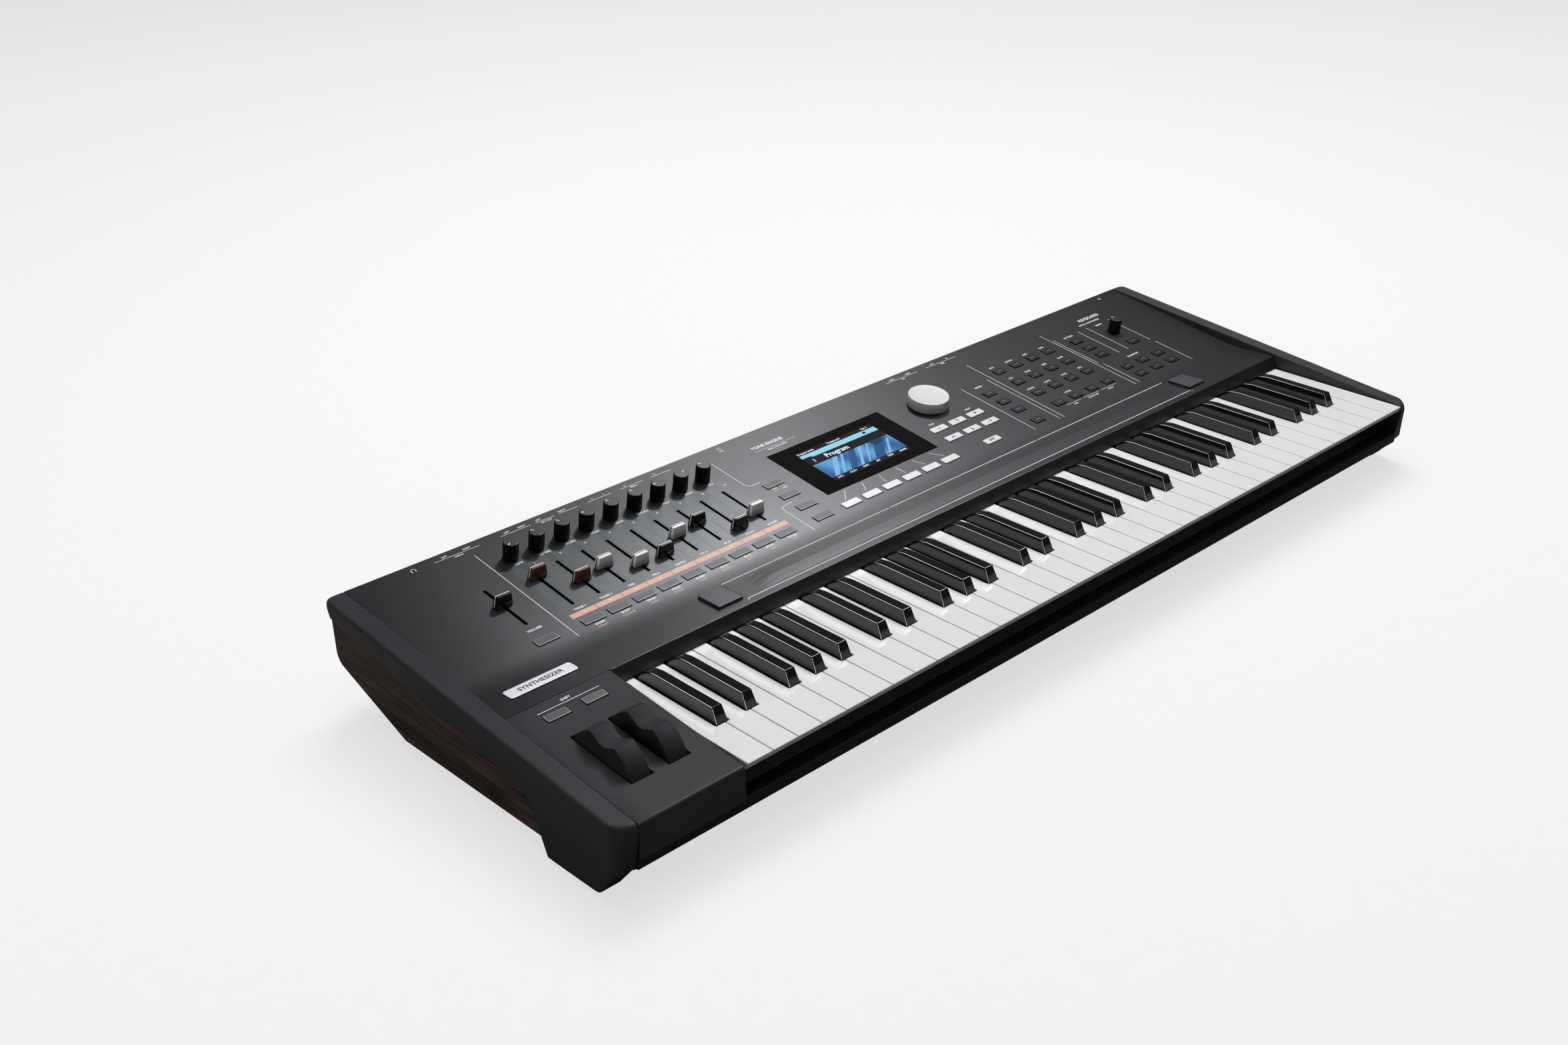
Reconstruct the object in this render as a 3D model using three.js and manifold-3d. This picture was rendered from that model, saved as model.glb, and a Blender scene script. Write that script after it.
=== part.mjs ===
// A 61-key synthesizer workstation: moulded cases, wood side panels, a sprung keyboard in moulded octave
// combs, two thumb wheels, ten slide controls, ten knobs, a data wheel and banks of push buttons.
//
// Millimetres. Inside this file everything is measured from the front left top corner of the lowest white
// key: +X along the keys, +Y towards the back, +Z up. The exported group moves that point so that the
// model's own origin is the middle of the bottom of its bounding box.

import * as THREE from "three";
import { mergeVertices } from "three/addons/utils/BufferGeometryUtils.js";
import Module from "manifold-3d";

const manifoldLibrary = await Module();
manifoldLibrary.setup();

// ---------------------------------------------------------------- driving dimensions

const GAP = 0.3; // running gap between neighbouring pieces
const WALL = 3; // moulded wall thickness

const WHITE_PITCH = 23.5;
const WHITE_COUNT = 36;
const KEYBOARD_WIDTH = WHITE_PITCH * WHITE_COUNT;
const OCTAVES = 5;

const DEPTH = 347;
const CHEEK_SLOPE = 33.9 / DEPTH; // rise of the side caps from front to back
const LEFT_OUTSIDE = -112;
const LEFT_INSIDE = -95;
const RIGHT_INSIDE = KEYBOARD_WIDTH + 1.5;
const RIGHT_OUTSIDE = 863.5;
const BLOCK_RIGHT = -1.5; // right side of the thumb-wheel block
const FOOT_DROP = 64; // white key tops above the table

const PANEL_REAR_Y = 344.6;
const BREAK = { y: 188, z: 10.5 }; // where the control panel bends up into the front strip
const STRIP_FRONT = { y: 143.3, z: 12 };
const WALL_FOOT = { y: 138, z: 1 };
const PANEL_ANGLE = THREE.MathUtils.degToRad(8);
const STRIP_ANGLE = Math.atan2(BREAK.z - STRIP_FRONT.z, BREAK.y - STRIP_FRONT.y);
const BLOCK_FRONT_Z = -1;
const BLOCK_DEPTH = 142.9;
const BLOCK_ANGLE = Math.atan2(STRIP_FRONT.z - BLOCK_FRONT_Z, BLOCK_DEPTH);

const CONTROL_PITCH = 24.9; // knobs, slide controls and most buttons share this spacing
const SLIDER_COUNT = 9;
const FIRST_SLIDER_X = 33;
const SLIDER_FRONT_Y = 230.6;
const SLIDER_REAR_Y = 284.3;
const SLIDER_REST_Y = [275, 252, 256, 242, 241, 255, 259, 235, 243];
const VOLUME_X = -10.5;
const VOLUME_REST_Y = 260;
const KNOB_Y = 308.3;
const KNOB_RADIUS = 6.5;
const KNOB_HEIGHT = 15.4;
const TEMPO = { x: 765, y: 280.3 };
const DATA_WHEEL = { x: 489.8, y: 286, radius: 19.5, height: 11 };
const DISPLAY = { x: 302, y: 228, width: 138.5, depth: 76.5 };

const BUTTON = { width: 19, depth: 7.6 };
const SMALL_BUTTON = { width: 13, depth: 8.6 };
const BUTTON_STANDS = 1.2; // button tops above the panel
const BUTTON_GAP = 0.5; // gap round each button in its opening
const BUTTON_ROW_Y = 207.2;
const WEB_TOP = -5; // top of the moulded web that joins a bank of buttons, below the panel face
const WEB_THICKNESS = 1.6;

const WHEEL_X = [-62.5, -30.3];
const WHEEL = { width: 16.8, radius: 33.9, centreY: 66.8, drop: 14.8, crest: 12.8, dip: 5 };
const WHEEL_SLOT = { width: 19.6, length: 66 };
const PAD = { centres: [123, 729.5], y: 165.5, rearWidth: 22.5, frontWidth: 24.5, depth: 26, stands: 2.5 };
const RIBBON = { left: 138.4, right: 714.6, front: 150, rear: 183, thickness: 0.8 };
const BADGE = { left: -75.8, right: -16.7, front: 160.2, rear: 172.5, stands: 1.2 };

// ---------------------------------------------------------------- solids and placing

function solid(geometry) {
  const bare = geometry.index ? geometry.toNonIndexed() : geometry.clone();
  bare.deleteAttribute("normal");
  bare.deleteAttribute("uv");
  const merged = mergeVertices(bare, 1e-4);
  return new manifoldLibrary.Manifold(
    new manifoldLibrary.Mesh({
      numProp: 3,
      vertProperties: new Float32Array(merged.attributes.position.array),
      triVerts: new Uint32Array(merged.index.array),
    }),
  );
}

function geometryOf(manifold) {
  const mesh = manifold.getMesh();
  const geometry = new THREE.BufferGeometry();
  geometry.setAttribute("position", new THREE.BufferAttribute(new Float32Array(mesh.vertProperties), 3));
  geometry.setIndex(new THREE.BufferAttribute(new Uint32Array(mesh.triVerts), 1));
  geometry.computeVertexNormals();
  return geometry;
}

const join = (first, ...rest) => rest.reduce((whole, piece) => whole.add(piece), first);
const cut = (first, ...rest) => rest.reduce((whole, piece) => whole.subtract(piece), first);

// A box between two corners.
function box(x0, y0, z0, x1, y1, z1) {
  const geometry = new THREE.BoxGeometry(x1 - x0, y1 - y0, z1 - z0);
  geometry.translate((x0 + x1) / 2, (y0 + y1) / 2, (z0 + z1) / 2);
  return solid(geometry);
}

// A box centred on (x, y) in plan, between two heights, that narrows towards its top.
function taperedBox(x, y, bottom, top, low, high) {
  const geometry = new THREE.BoxGeometry(1, 1, 1);
  const position = geometry.attributes.position;
  for (let i = 0; i < position.count; i++) {
    const size = position.getZ(i) > 0 ? high : low;
    position.setXYZ(
      i,
      x + position.getX(i) * size[0],
      y + position.getY(i) * size[1],
      position.getZ(i) > 0 ? top : bottom,
    );
  }
  return solid(geometry);
}

// An upright cylinder or cone.
function cylinder(x, y, bottom, top, lowRadius, highRadius = lowRadius, sides = 20) {
  const geometry = new THREE.CylinderGeometry(highRadius, lowRadius, top - bottom, sides);
  geometry.rotateX(Math.PI / 2);
  geometry.translate(x, y, (bottom + top) / 2);
  return solid(geometry);
}

// A cylinder lying along X.
function rod(x0, x1, y, z, radius, sides = 16) {
  const geometry = new THREE.CylinderGeometry(radius, radius, x1 - x0, sides);
  geometry.rotateZ(Math.PI / 2);
  geometry.translate((x0 + x1) / 2, y, z);
  return solid(geometry);
}

// A side-view outline, drawn as (y, z), made solid between two places along X.
function alongX(outline, x0, x1) {
  const shape = outline instanceof THREE.Shape ? outline : shapeOf(outline);
  const geometry = new THREE.ExtrudeGeometry(shape, { depth: x1 - x0, bevelEnabled: false, curveSegments: 5 });
  const sideways = new THREE.Matrix4().makeBasis(
    new THREE.Vector3(0, 1, 0),
    new THREE.Vector3(0, 0, 1),
    new THREE.Vector3(1, 0, 0),
  );
  geometry.applyMatrix4(sideways);
  geometry.translate(x0, 0, 0);
  return solid(geometry);
}

function shapeOf(points) {
  return new THREE.Shape(points.map(([y, z]) => new THREE.Vector2(y, z)));
}

// A surface of the instrument that carries controls. Its own X is the instrument's X, its own Y runs back
// along the surface and its own Z stands out of it.
class Face {
  constructor(y, z, angle) {
    this.origin = { y, z };
    this.cosine = Math.cos(angle);
    this.matrix = new THREE.Matrix4().makeRotationX(angle).setPosition(0, y, z);
  }

  // Distance along the surface of a point at depth y.
  along(y) {
    return (y - this.origin.y) / this.cosine;
  }

  // A solid made in the surface's own axes, moved to the instrument's axes.
  place(manifold) {
    return manifold.transform(this.matrix.elements);
  }
}

const panelFace = new Face(BREAK.y, BREAK.z, PANEL_ANGLE);
const stripFace = new Face(STRIP_FRONT.y, STRIP_FRONT.z, STRIP_ANGLE);
const blockFace = new Face(0, BLOCK_FRONT_Z, BLOCK_ANGLE);

// ---------------------------------------------------------------- materials and the group

const finishes = {
  casing: { color: 0x2b2d30, roughness: 0.55, metalness: 0.1 },
  panel: { color: 0x45474b, roughness: 0.42, metalness: 0.35 },
  wood: { color: 0x35241f, roughness: 0.45, metalness: 0 },
  white_key: { color: 0xeceae4, roughness: 0.25, metalness: 0 },
  black_key: { color: 0x111213, roughness: 0.2, metalness: 0 },
  knob: { color: 0x141516, roughness: 0.5, metalness: 0 },
  cap_black: { color: 0x191a1b, roughness: 0.35, metalness: 0 },
  cap_grey: { color: 0xb9b4b3, roughness: 0.35, metalness: 0 },
  cap_red: { color: 0x4a211c, roughness: 0.35, metalness: 0 },
  grey_button: { color: 0x4c4d50, roughness: 0.5, metalness: 0.1 },
  white_button: { color: 0xe6e6e8, roughness: 0.4, metalness: 0 },
  rubber: { color: 0x26272a, roughness: 0.8, metalness: 0 },
  glass: { color: 0x100e0c, roughness: 0.08, metalness: 0 },
  silver: { color: 0xc4c7ca, roughness: 0.3, metalness: 0.8 },
  board: { color: 0x1f4a33, roughness: 0.6, metalness: 0.1 },
};

const instrument = new THREE.Group();

function addPart(name, manifold, finish) {
  const mesh = new THREE.Mesh(geometryOf(manifold), new THREE.MeshStandardMaterial(finishes[finish]));
  mesh.name = name;
  instrument.add(mesh);
}

// ---------------------------------------------------------------- where the controls are

const row = (count, first, pitch) => Array.from({ length: count }, (_, i) => first + i * pitch);
const grid = (xs, ys) => ys.flatMap((y) => xs.map((x) => ({ x, y })));

const sliderXs = row(SLIDER_COUNT, FIRST_SLIDER_X, CONTROL_PITCH);
const knobPlaces = sliderXs.map((x) => ({ x: x - 1, y: KNOB_Y }));

const buttonBanks = {
  effect_buttons: {
    finish: "grey_button",
    face: panelFace,
    size: BUTTON,
    places: grid([VOLUME_X, ...sliderXs], [BUTTON_ROW_Y]),
    webs: [[VOLUME_X, BUTTON_ROW_Y, sliderXs[8], BUTTON_ROW_Y]],
  },
  display_buttons: {
    finish: "white_button",
    face: panelFace,
    size: BUTTON,
    places: [
      ...grid([275.5], row(4, BUTTON_ROW_Y, 20.2)),
      ...grid(row(6, 309, CONTROL_PITCH), [BUTTON_ROW_Y]),
      { x: 490.5, y: BUTTON_ROW_Y },
      ...grid(row(3, 465, CONTROL_PITCH), [231, 249]),
    ],
    webs: [
      [275.5, BUTTON_ROW_Y, 490.5, BUTTON_ROW_Y],
      [275.5, BUTTON_ROW_Y, 275.5, BUTTON_ROW_Y + 60.6],
      [465, 231, 514.8, 249],
      [490.5, BUTTON_ROW_Y, 490.5, 231],
    ],
  },
  category_buttons: {
    finish: "grey_button",
    face: panelFace,
    size: SMALL_BUTTON,
    places: [
      ...grid(row(4, 597.8, 25), row(4, 216.7, 24.6)),
      ...grid([555.5], [BUTTON_ROW_Y, 230.6, 248.5, 266.4]),
    ],
    webs: [
      ...row(4, 597.8, 25).map((x) => [x, 216.7, x, 290.5]),
      [555.5, BUTTON_ROW_Y, 555.5, 266.4],
      [555.5, 241.3, 672.8, 241.3],
    ],
  },
  transport_buttons: {
    finish: "grey_button",
    face: panelFace,
    size: SMALL_BUTTON,
    places: [
      ...grid(row(3, 715, 25), [207.8, 224.6]),
      ...grid([713.8], [255.4, 271.6, 287.8]),
      { x: 765, y: 255.6 },
    ],
    webs: [
      [715, 207.8, 765, 224.6],
      [713.8, 224.6, 713.8, 287.8],
      [765, 224.6, 765, 255.6],
    ],
  },
  transpose_buttons: {
    finish: "grey_button",
    face: blockFace,
    size: BUTTON,
    places: grid([-64, -31.2], [124.3]),
    webs: [[-64, 124.3, -31.2, 124.3]],
  },
};

// ---------------------------------------------------------------- casework

// Side-view outline of a side cap: the whole side of the instrument less the place of the wood panel.
function cheekOutline() {
  const shape = new THREE.Shape();
  shape.moveTo(0, -5);
  shape.quadraticCurveTo(0, 0, 4, CHEEK_SLOPE * 4);
  shape.lineTo(DEPTH - 5, CHEEK_SLOPE * (DEPTH - 5));
  shape.quadraticCurveTo(DEPTH, CHEEK_SLOPE * DEPTH, DEPTH, CHEEK_SLOPE * DEPTH - 6);
  shape.lineTo(343.5, 18.5);
  shape.lineTo(248, 5);
  shape.lineTo(131, -12);
  shape.bezierCurveTo(104, -16, 97, -19, 93, -30);
  shape.lineTo(84.5, -50);
  shape.lineTo(79.5, -61);
  shape.lineTo(26, -60);
  shape.quadraticCurveTo(23.5, -59.6, 22, -57);
  shape.lineTo(4, -35);
  return shape;
}

// A column whose plan is a rectangle with rounded outer corners. The corner radius shrinks downwards.
function roundedColumn(inside, outside, levels) {
  const cornerSteps = 6;
  const outward = Math.sign(outside - inside);
  const positions = [];
  for (const { z, front, rear } of levels) {
    positions.push([inside, -5, z]);
    for (let i = 0; i <= cornerSteps; i++) {
      const turn = (i / cornerSteps) * (Math.PI / 2);
      positions.push([outside - outward * front * (1 - Math.sin(turn)), front * (1 - Math.cos(turn)), z]);
    }
    for (let i = 0; i <= cornerSteps; i++) {
      const turn = (i / cornerSteps) * (Math.PI / 2);
      positions.push([outside - outward * rear * (1 - Math.cos(turn)), DEPTH - rear * (1 - Math.sin(turn)), z]);
    }
    positions.push([inside, DEPTH + 5, z]);
  }
  const ring = positions.length / levels.length;
  const faces = [];
  for (let level = 0; level + 1 < levels.length; level++) {
    for (let i = 0; i < ring; i++) {
      const a = level * ring + i;
      const b = level * ring + ((i + 1) % ring);
      faces.push([a, b, b + ring], [a, b + ring, a + ring]);
    }
  }
  const topStart = (levels.length - 1) * ring;
  for (let i = 1; i + 1 < ring; i++) {
    faces.push([0, i + 1, i], [topStart, topStart + i, topStart + i + 1]);
  }
  const geometry = new THREE.BufferGeometry();
  geometry.setAttribute("position", new THREE.Float32BufferAttribute(positions.flat(), 3));
  geometry.setIndex(faces.flatMap((face) => (outward > 0 ? face : [face[0], face[2], face[1]])));
  return solid(geometry);
}

function cheek(inside, outside) {
  const levels = [
    { z: -70, front: 3, rear: 6 },
    { z: -35, front: 6, rear: 7 },
    { z: 0, front: 15, rear: 8 },
    { z: 40, front: 15, rear: 8 },
  ];
  const slab = alongX(cheekOutline(), Math.min(inside, outside), Math.max(inside, outside));
  return slab.intersect(roundedColumn(inside, outside, levels));
}

// The wood panel fills the side below the cap's band and stands a little inside the cap's face.
function woodSide(inside, outside) {
  const inset = 3;
  const shape = new THREE.Shape();
  shape.moveTo(85.5, -50);
  shape.lineTo(93.6, -30.3);
  shape.bezierCurveTo(97.6, -19.3, 104.6, -16.4, 131, -12.4);
  shape.lineTo(248, 4.6);
  shape.lineTo(342.4, 18);
  shape.lineTo(341.9, -11);
  shape.quadraticCurveTo(341.8, -20, 333, -23.2);
  shape.lineTo(254.7, -52);
  const face = outside - Math.sign(outside - inside) * inset;
  return alongX(shape, Math.min(inside, face), Math.max(inside, face));
}

const BODY_LEFT = LEFT_INSIDE + GAP;
const BODY_RIGHT = RIGHT_INSIDE - GAP;
const CASE_SKIN = 2.5;

// The bottom case: a tray with a sloping front lip, a flat floor, a rising rear underside and two end walls.
function bottomCase() {
  const skin = alongX(
    [
      [7, -36], [7, -40.5], [27.5, -53.5], [253.5, -53.5], [340.5, -21.8], [340.5, -18],
      [338, -18], [338, -20.2], [253, -51], [28.3, -51], [9.5, -39], [9.5, -36],
    ],
    BODY_LEFT,
    BODY_RIGHT,
  );
  const endWall = [
    [16, -44], [29, -52], [252, -52], [338.5, -19.8],
    [338.5, 26], [205, 6], [205, -30], [16, -30],
  ];
  return join(
    skin,
    alongX(endWall, BODY_LEFT, BODY_LEFT + CASE_SKIN),
    alongX(endWall, BODY_RIGHT - CASE_SKIN, BODY_RIGHT),
  );
}

// A rubber foot under the bottom case.
function foot(x, y) {
  return cylinder(x, y, -FOOT_DROP, -53.5 - GAP, 12, 13.5);
}

const panelRearZ = BREAK.z + (PANEL_REAR_Y - BREAK.y) * Math.tan(PANEL_ANGLE);

// The top panel: control surface, front strip and the sloping wall behind the keys, in one bent sheet.
function panelSheet() {
  const bend = 12;
  const rise = Math.tan(PANEL_ANGLE) * bend;
  const fall = Math.tan(-STRIP_ANGLE) * bend;
  const outer = new THREE.Shape();
  outer.moveTo(PANEL_REAR_Y, panelRearZ);
  outer.lineTo(BREAK.y + bend, BREAK.z + rise);
  outer.quadraticCurveTo(BREAK.y, BREAK.z, BREAK.y - bend, BREAK.z + fall);
  outer.lineTo(STRIP_FRONT.y, STRIP_FRONT.z);
  outer.lineTo(WALL_FOOT.y, WALL_FOOT.z);
  outer.lineTo(WALL_FOOT.y + WALL, WALL_FOOT.z);
  outer.lineTo(STRIP_FRONT.y + 3.2, STRIP_FRONT.z - WALL);
  outer.lineTo(BREAK.y - bend, BREAK.z + fall - WALL);
  outer.quadraticCurveTo(BREAK.y, BREAK.z - WALL, BREAK.y + bend, BREAK.z + rise - WALL);
  outer.lineTo(PANEL_REAR_Y, panelRearZ - WALL);
  const sheet = alongX(outer, BODY_LEFT, BODY_RIGHT);
  const wallBesideBlock = box(BODY_LEFT - 1, 130, -10, BLOCK_RIGHT + 0.5, STRIP_FRONT.y + 0.2, 20);
  return cut(sheet, wallBesideBlock);
}

function buttonOpenings(bank) {
  const { face, size } = bank;
  const halfWidth = size.width / 2 + BUTTON_GAP;
  const halfDepth = size.depth / 2 + BUTTON_GAP;
  return bank.places.map(({ x, y }) => {
    const s = face.along(y);
    return face.place(box(x - halfWidth, s - halfDepth, -6, x + halfWidth, s + halfDepth, 6));
  });
}

function sliderSlot(x) {
  const front = panelFace.along(SLIDER_FRONT_Y);
  const rear = panelFace.along(SLIDER_REAR_Y);
  return panelFace.place(box(x - 1.4, front, -6, x + 1.4, rear, 6));
}

function shaftHole(place, radius = 4) {
  return panelFace.place(cylinder(place.x, panelFace.along(place.y), -6, 6, radius, radius, 12));
}

// The glass lies in a shallow rebate, and the window under it shows the display module.
function displayOpening() {
  const front = panelFace.along(DISPLAY.y);
  const rebate = box(
    DISPLAY.x - GAP, front - GAP, -1.6,
    DISPLAY.x + DISPLAY.width + GAP, front + DISPLAY.depth + GAP, 6,
  );
  const window = box(
    DISPLAY.x + 8, front + 5, -6,
    DISPLAY.x + DISPLAY.width - 8, front + DISPLAY.depth - 5, 6,
  );
  return [panelFace.place(rebate), panelFace.place(window)];
}

const RIBBON_REBATE_DEPTH = 1;

function ribbonRebate() {
  const front = stripFace.along(RIBBON.front);
  const rear = stripFace.along(RIBBON.rear);
  return stripFace.place(
    box(RIBBON.left - GAP, front - GAP, -RIBBON_REBATE_DEPTH, RIBBON.right + GAP, rear + GAP, 4),
  );
}

function padOutline(grow = 0) {
  const front = stripFace.along(PAD.y) - PAD.depth / 2 - grow;
  const rear = front + PAD.depth + 2 * grow;
  return [
    [-PAD.frontWidth / 2 - grow, front],
    [PAD.frontWidth / 2 + grow, front],
    [PAD.rearWidth / 2 + grow, rear],
    [-PAD.rearWidth / 2 - grow, rear],
  ];
}

function padColumn(x, bottom, top, grow = 0) {
  const shape = shapeOf(padOutline(grow).map(([dx, y]) => [x + dx, y]));
  const geometry = new THREE.ExtrudeGeometry(shape, { depth: top - bottom, bevelEnabled: false });
  geometry.translate(0, 0, bottom);
  return stripFace.place(solid(geometry));
}

function topPanel() {
  return cut(
    panelSheet(),
    ...[VOLUME_X, ...sliderXs].map(sliderSlot),
    ...[...knobPlaces, TEMPO, DATA_WHEEL].map((place) => shaftHole(place)),
    ...Object.values(buttonBanks)
      .filter((bank) => bank.face === panelFace)
      .flatMap(buttonOpenings),
    ...displayOpening(),
    ribbonRebate(),
    ...PAD.centres.map((x) => padColumn(x, -5, 6, BUTTON_GAP)),
  );
}

const RAIL_TOP = -29.2;

// The block at the left of the keys: a hood over the thumb wheels with hanging bearing ribs inside. It
// stands on the front rail.
function controllerBlock() {
  const floor = RAIL_TOP + GAP;
  const right = BLOCK_RIGHT - GAP;
  const topZ = (y) => BLOCK_FRONT_Z + y * Math.tan(BLOCK_ANGLE);
  const hood = alongX(
    [
      [0.3, floor], [0.3, topZ(0) - 3], [1.2, topZ(0) - 1], [3.3, topZ(3.3)],
      [BLOCK_DEPTH, topZ(BLOCK_DEPTH)], [BLOCK_DEPTH, topZ(BLOCK_DEPTH) - WALL],
      [6, topZ(6) - WALL], [3.3, topZ(3.3) - 5], [3.3, floor],
    ],
    BODY_LEFT + CASE_SKIN + GAP,
    right,
  );
  const sideWall = alongX(
    [
      [0.3, floor], [0.3, topZ(0) - 3], [3.3, topZ(3.3) - 0.5],
      [BLOCK_DEPTH, topZ(BLOCK_DEPTH) - 1], [BLOCK_DEPTH, floor],
    ],
    right - WALL,
    right,
  );
  const coverEdge = alongX(
    [
      [0.3, floor], [0.3, topZ(0) - 3], [1.2, topZ(0) - 1], [3.3, topZ(3.3)],
      [11, topZ(11)], [11, -8], [3.3, floor],
    ],
    BODY_LEFT,
    BODY_LEFT + CASE_SKIN + 1,
  );
  const coverStrip = alongX(
    [[10, topZ(10)], [BLOCK_DEPTH, topZ(BLOCK_DEPTH)], [BLOCK_DEPTH, topZ(BLOCK_DEPTH) - 2], [10, topZ(10) - 2]],
    BODY_LEFT,
    BODY_LEFT + CASE_SKIN + 1,
  );
  const ribs = WHEEL_X.flatMap((x) =>
    [x - WHEEL.width / 2 - 4.6, x + WHEEL.width / 2 + 2].map((ribX) => {
      const middle = blockFace.along(WHEEL.centreY);
      return blockFace.place(box(ribX, middle - 8, -WHEEL.drop - 7, ribX + 2.6, middle + 8, -1.5));
    }),
  );
  const axleHoles = WHEEL_X.map((x) => wheelRod(x, WHEEL.width / 2 + 8, 3.3));
  const slots = WHEEL_X.map((x) => {
    const middle = blockFace.along(WHEEL.centreY);
    return blockFace.place(
      box(
        x - WHEEL_SLOT.width / 2, middle - WHEEL_SLOT.length / 2, -WALL - 1,
        x + WHEEL_SLOT.width / 2, middle + WHEEL_SLOT.length / 2, 6,
      ),
    );
  });
  const openings = buttonOpenings(buttonBanks.transpose_buttons);
  return cut(join(hood, sideWall, coverEdge, coverStrip, ...ribs), ...slots, ...openings, ...axleHoles);
}

// The rail that closes the front of the bottom case, from one side cap to the other.
function frontRail() {
  const lip = 2.5;
  const foot = -38.6;
  return alongX(
    [
      [lip, RAIL_TOP - 0.8], [lip + 0.8, RAIL_TOP], [15, RAIL_TOP], [15, RAIL_TOP - lip],
      [5.6, RAIL_TOP - lip], [5.6, foot], [3.4, foot], [lip, foot + 1.6],
    ],
    BODY_LEFT,
    BODY_RIGHT,
  );
}

const REAR_PLATE = { y: 341.2, thickness: 2.8, bottom: -21, top: 28.6 };

// Sockets along the back: [x, radius] for the round ones.
const SOCKETS = [
  ...row(8, 120, 24).map((x) => [x, 5.2]),
  ...row(3, 350, 24).map((x) => [x, 5.2]),
  ...row(3, 480, 26).map((x) => [x, 8.5]),
  [-38, 5.2],
];
const SOCKET_Z = 6;
const POWER_SWITCH = { x: 815, width: 14, height: 22 };
const POWER_INLET = { x: 770, width: 28, height: 22 };

function rearPanel() {
  const { y, thickness, bottom, top } = REAR_PLATE;
  const plate = box(BODY_LEFT, y, bottom + 4, BODY_RIGHT, y + thickness, top);
  const holes = SOCKETS.map(([x, radius]) => barrel(x, y - 2, y + 6, radius + 0.5));
  const opening = (place) =>
    box(
      place.x - place.width / 2 - 0.5, y - 2, SOCKET_Z - place.height / 2 - 0.5,
      place.x + place.width / 2 + 0.5, y + 6, SOCKET_Z + place.height / 2 + 0.5,
    );
  return cut(plate, ...holes, opening(POWER_SWITCH), opening(POWER_INLET));
}

// A cylinder lying along Y at socket height.
function barrel(x, y0, y1, radius, sides = 10) {
  const geometry = new THREE.CylinderGeometry(radius, radius, y1 - y0, sides);
  geometry.translate(x, (y0 + y1) / 2, SOCKET_Z);
  return solid(geometry);
}

// The upright board behind the rear panel with its sockets and the power inlet.
function jackBoard() {
  const faceY = REAR_PLATE.y;
  const board = box(-60, faceY - 16, -12, 800, faceY - 14.4, 20);
  const sockets = SOCKETS.map(([x, radius]) =>
    cut(barrel(x, faceY - 15, faceY + 4.6, radius), barrel(x, faceY - 4, faceY + 8, radius * 0.62)),
  );
  const inlet = cut(
    box(
      POWER_INLET.x - POWER_INLET.width / 2, faceY - 15, SOCKET_Z - POWER_INLET.height / 2,
      POWER_INLET.x + POWER_INLET.width / 2, faceY + 3.6, SOCKET_Z + POWER_INLET.height / 2,
    ),
    box(
      POWER_INLET.x - POWER_INLET.width / 2 + 3, faceY - 9, SOCKET_Z - POWER_INLET.height / 2 + 3,
      POWER_INLET.x + POWER_INLET.width / 2 - 3, faceY + 6, SOCKET_Z + POWER_INLET.height / 2 - 3,
    ),
  );
  return join(board, ...sockets, inlet);
}

// The rocker of the power switch. It turns about a line along X inside the rear panel.
function powerSwitch() {
  const halfWidth = POWER_SWITCH.width / 2 - 1;
  const halfHeight = POWER_SWITCH.height / 2 - 1.5;
  const faceY = REAR_PLATE.y;
  return alongX(
    [
      [faceY - 5, SOCKET_Z - halfHeight + 2], [faceY + 1.2, SOCKET_Z - halfHeight], [faceY + 2.6, SOCKET_Z],
      [faceY + 4.6, SOCKET_Z + halfHeight], [faceY - 5, SOCKET_Z + halfHeight - 2],
    ],
    POWER_SWITCH.x - halfWidth,
    POWER_SWITCH.x + halfWidth,
  );
}

// ---------------------------------------------------------------- inside parts

// The steel plate under the keys, folded up at the back into the pivot rail.
function keybedChassis() {
  return alongX(
    [
      [20, -34.5], [216, -34.5], [216, -18], [204, -18], [204, -7], [202, -7], [202, -20],
      [214, -20], [214, -32.5], [60, -32.5], [60, -30.5], [40, -30.5], [40, -32.5], [20, -32.5],
    ],
    GAP,
    BODY_RIGHT - CASE_SKIN - GAP,
  );
}

function mainBoard() {
  const front = panelFace.along(215);
  const rear = panelFace.along(318);
  return panelFace.place(box(-80, front, -16, 830, rear, -14.4));
}

function displayGlass() {
  const front = panelFace.along(DISPLAY.y);
  return panelFace.place(
    box(DISPLAY.x, front, -1.3, DISPLAY.x + DISPLAY.width, front + DISPLAY.depth, 0.3),
  );
}

function displayModule() {
  const front = panelFace.along(DISPLAY.y);
  return panelFace.place(
    box(DISPLAY.x + 8.5, front + 5.5, -9, DISPLAY.x + DISPLAY.width - 8.5, front + DISPLAY.depth - 5.5, -1.7),
  );
}

function ribbonStrip() {
  const front = stripFace.along(RIBBON.front);
  const rear = stripFace.along(RIBBON.rear);
  const bottom = RIBBON_REBATE_DEPTH - GAP;
  return stripFace.place(box(RIBBON.left, front, -bottom, RIBBON.right, rear, RIBBON.thickness - bottom));
}

function namePlate() {
  const front = stripFace.along(BADGE.front);
  const rear = stripFace.along(BADGE.rear);
  return stripFace.place(box(BADGE.left, front, GAP, BADGE.right, rear, BADGE.stands));
}

// ---------------------------------------------------------------- keys

const SHARPS = [
  { after: 1, shift: -2.2 },
  { after: 2, shift: 2.2 },
  { after: 4, shift: -3 },
  { after: 5, shift: 0 },
  { after: 6, shift: 3 },
];
const SHARP = { width: 11, topWidth: 9.2, front: 50, height: 11.3 };
const WHITE_GAP = 0.8;
const KEY_END_Y = 184;
const WEB = { whiteFront: 175, blackFront: 187, blackRear: 197, top: -6, bottom: -14 };

const sharpCentre = (octave, sharp) => (octave * 7 + sharp.after) * WHITE_PITCH + sharp.shift;

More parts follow.
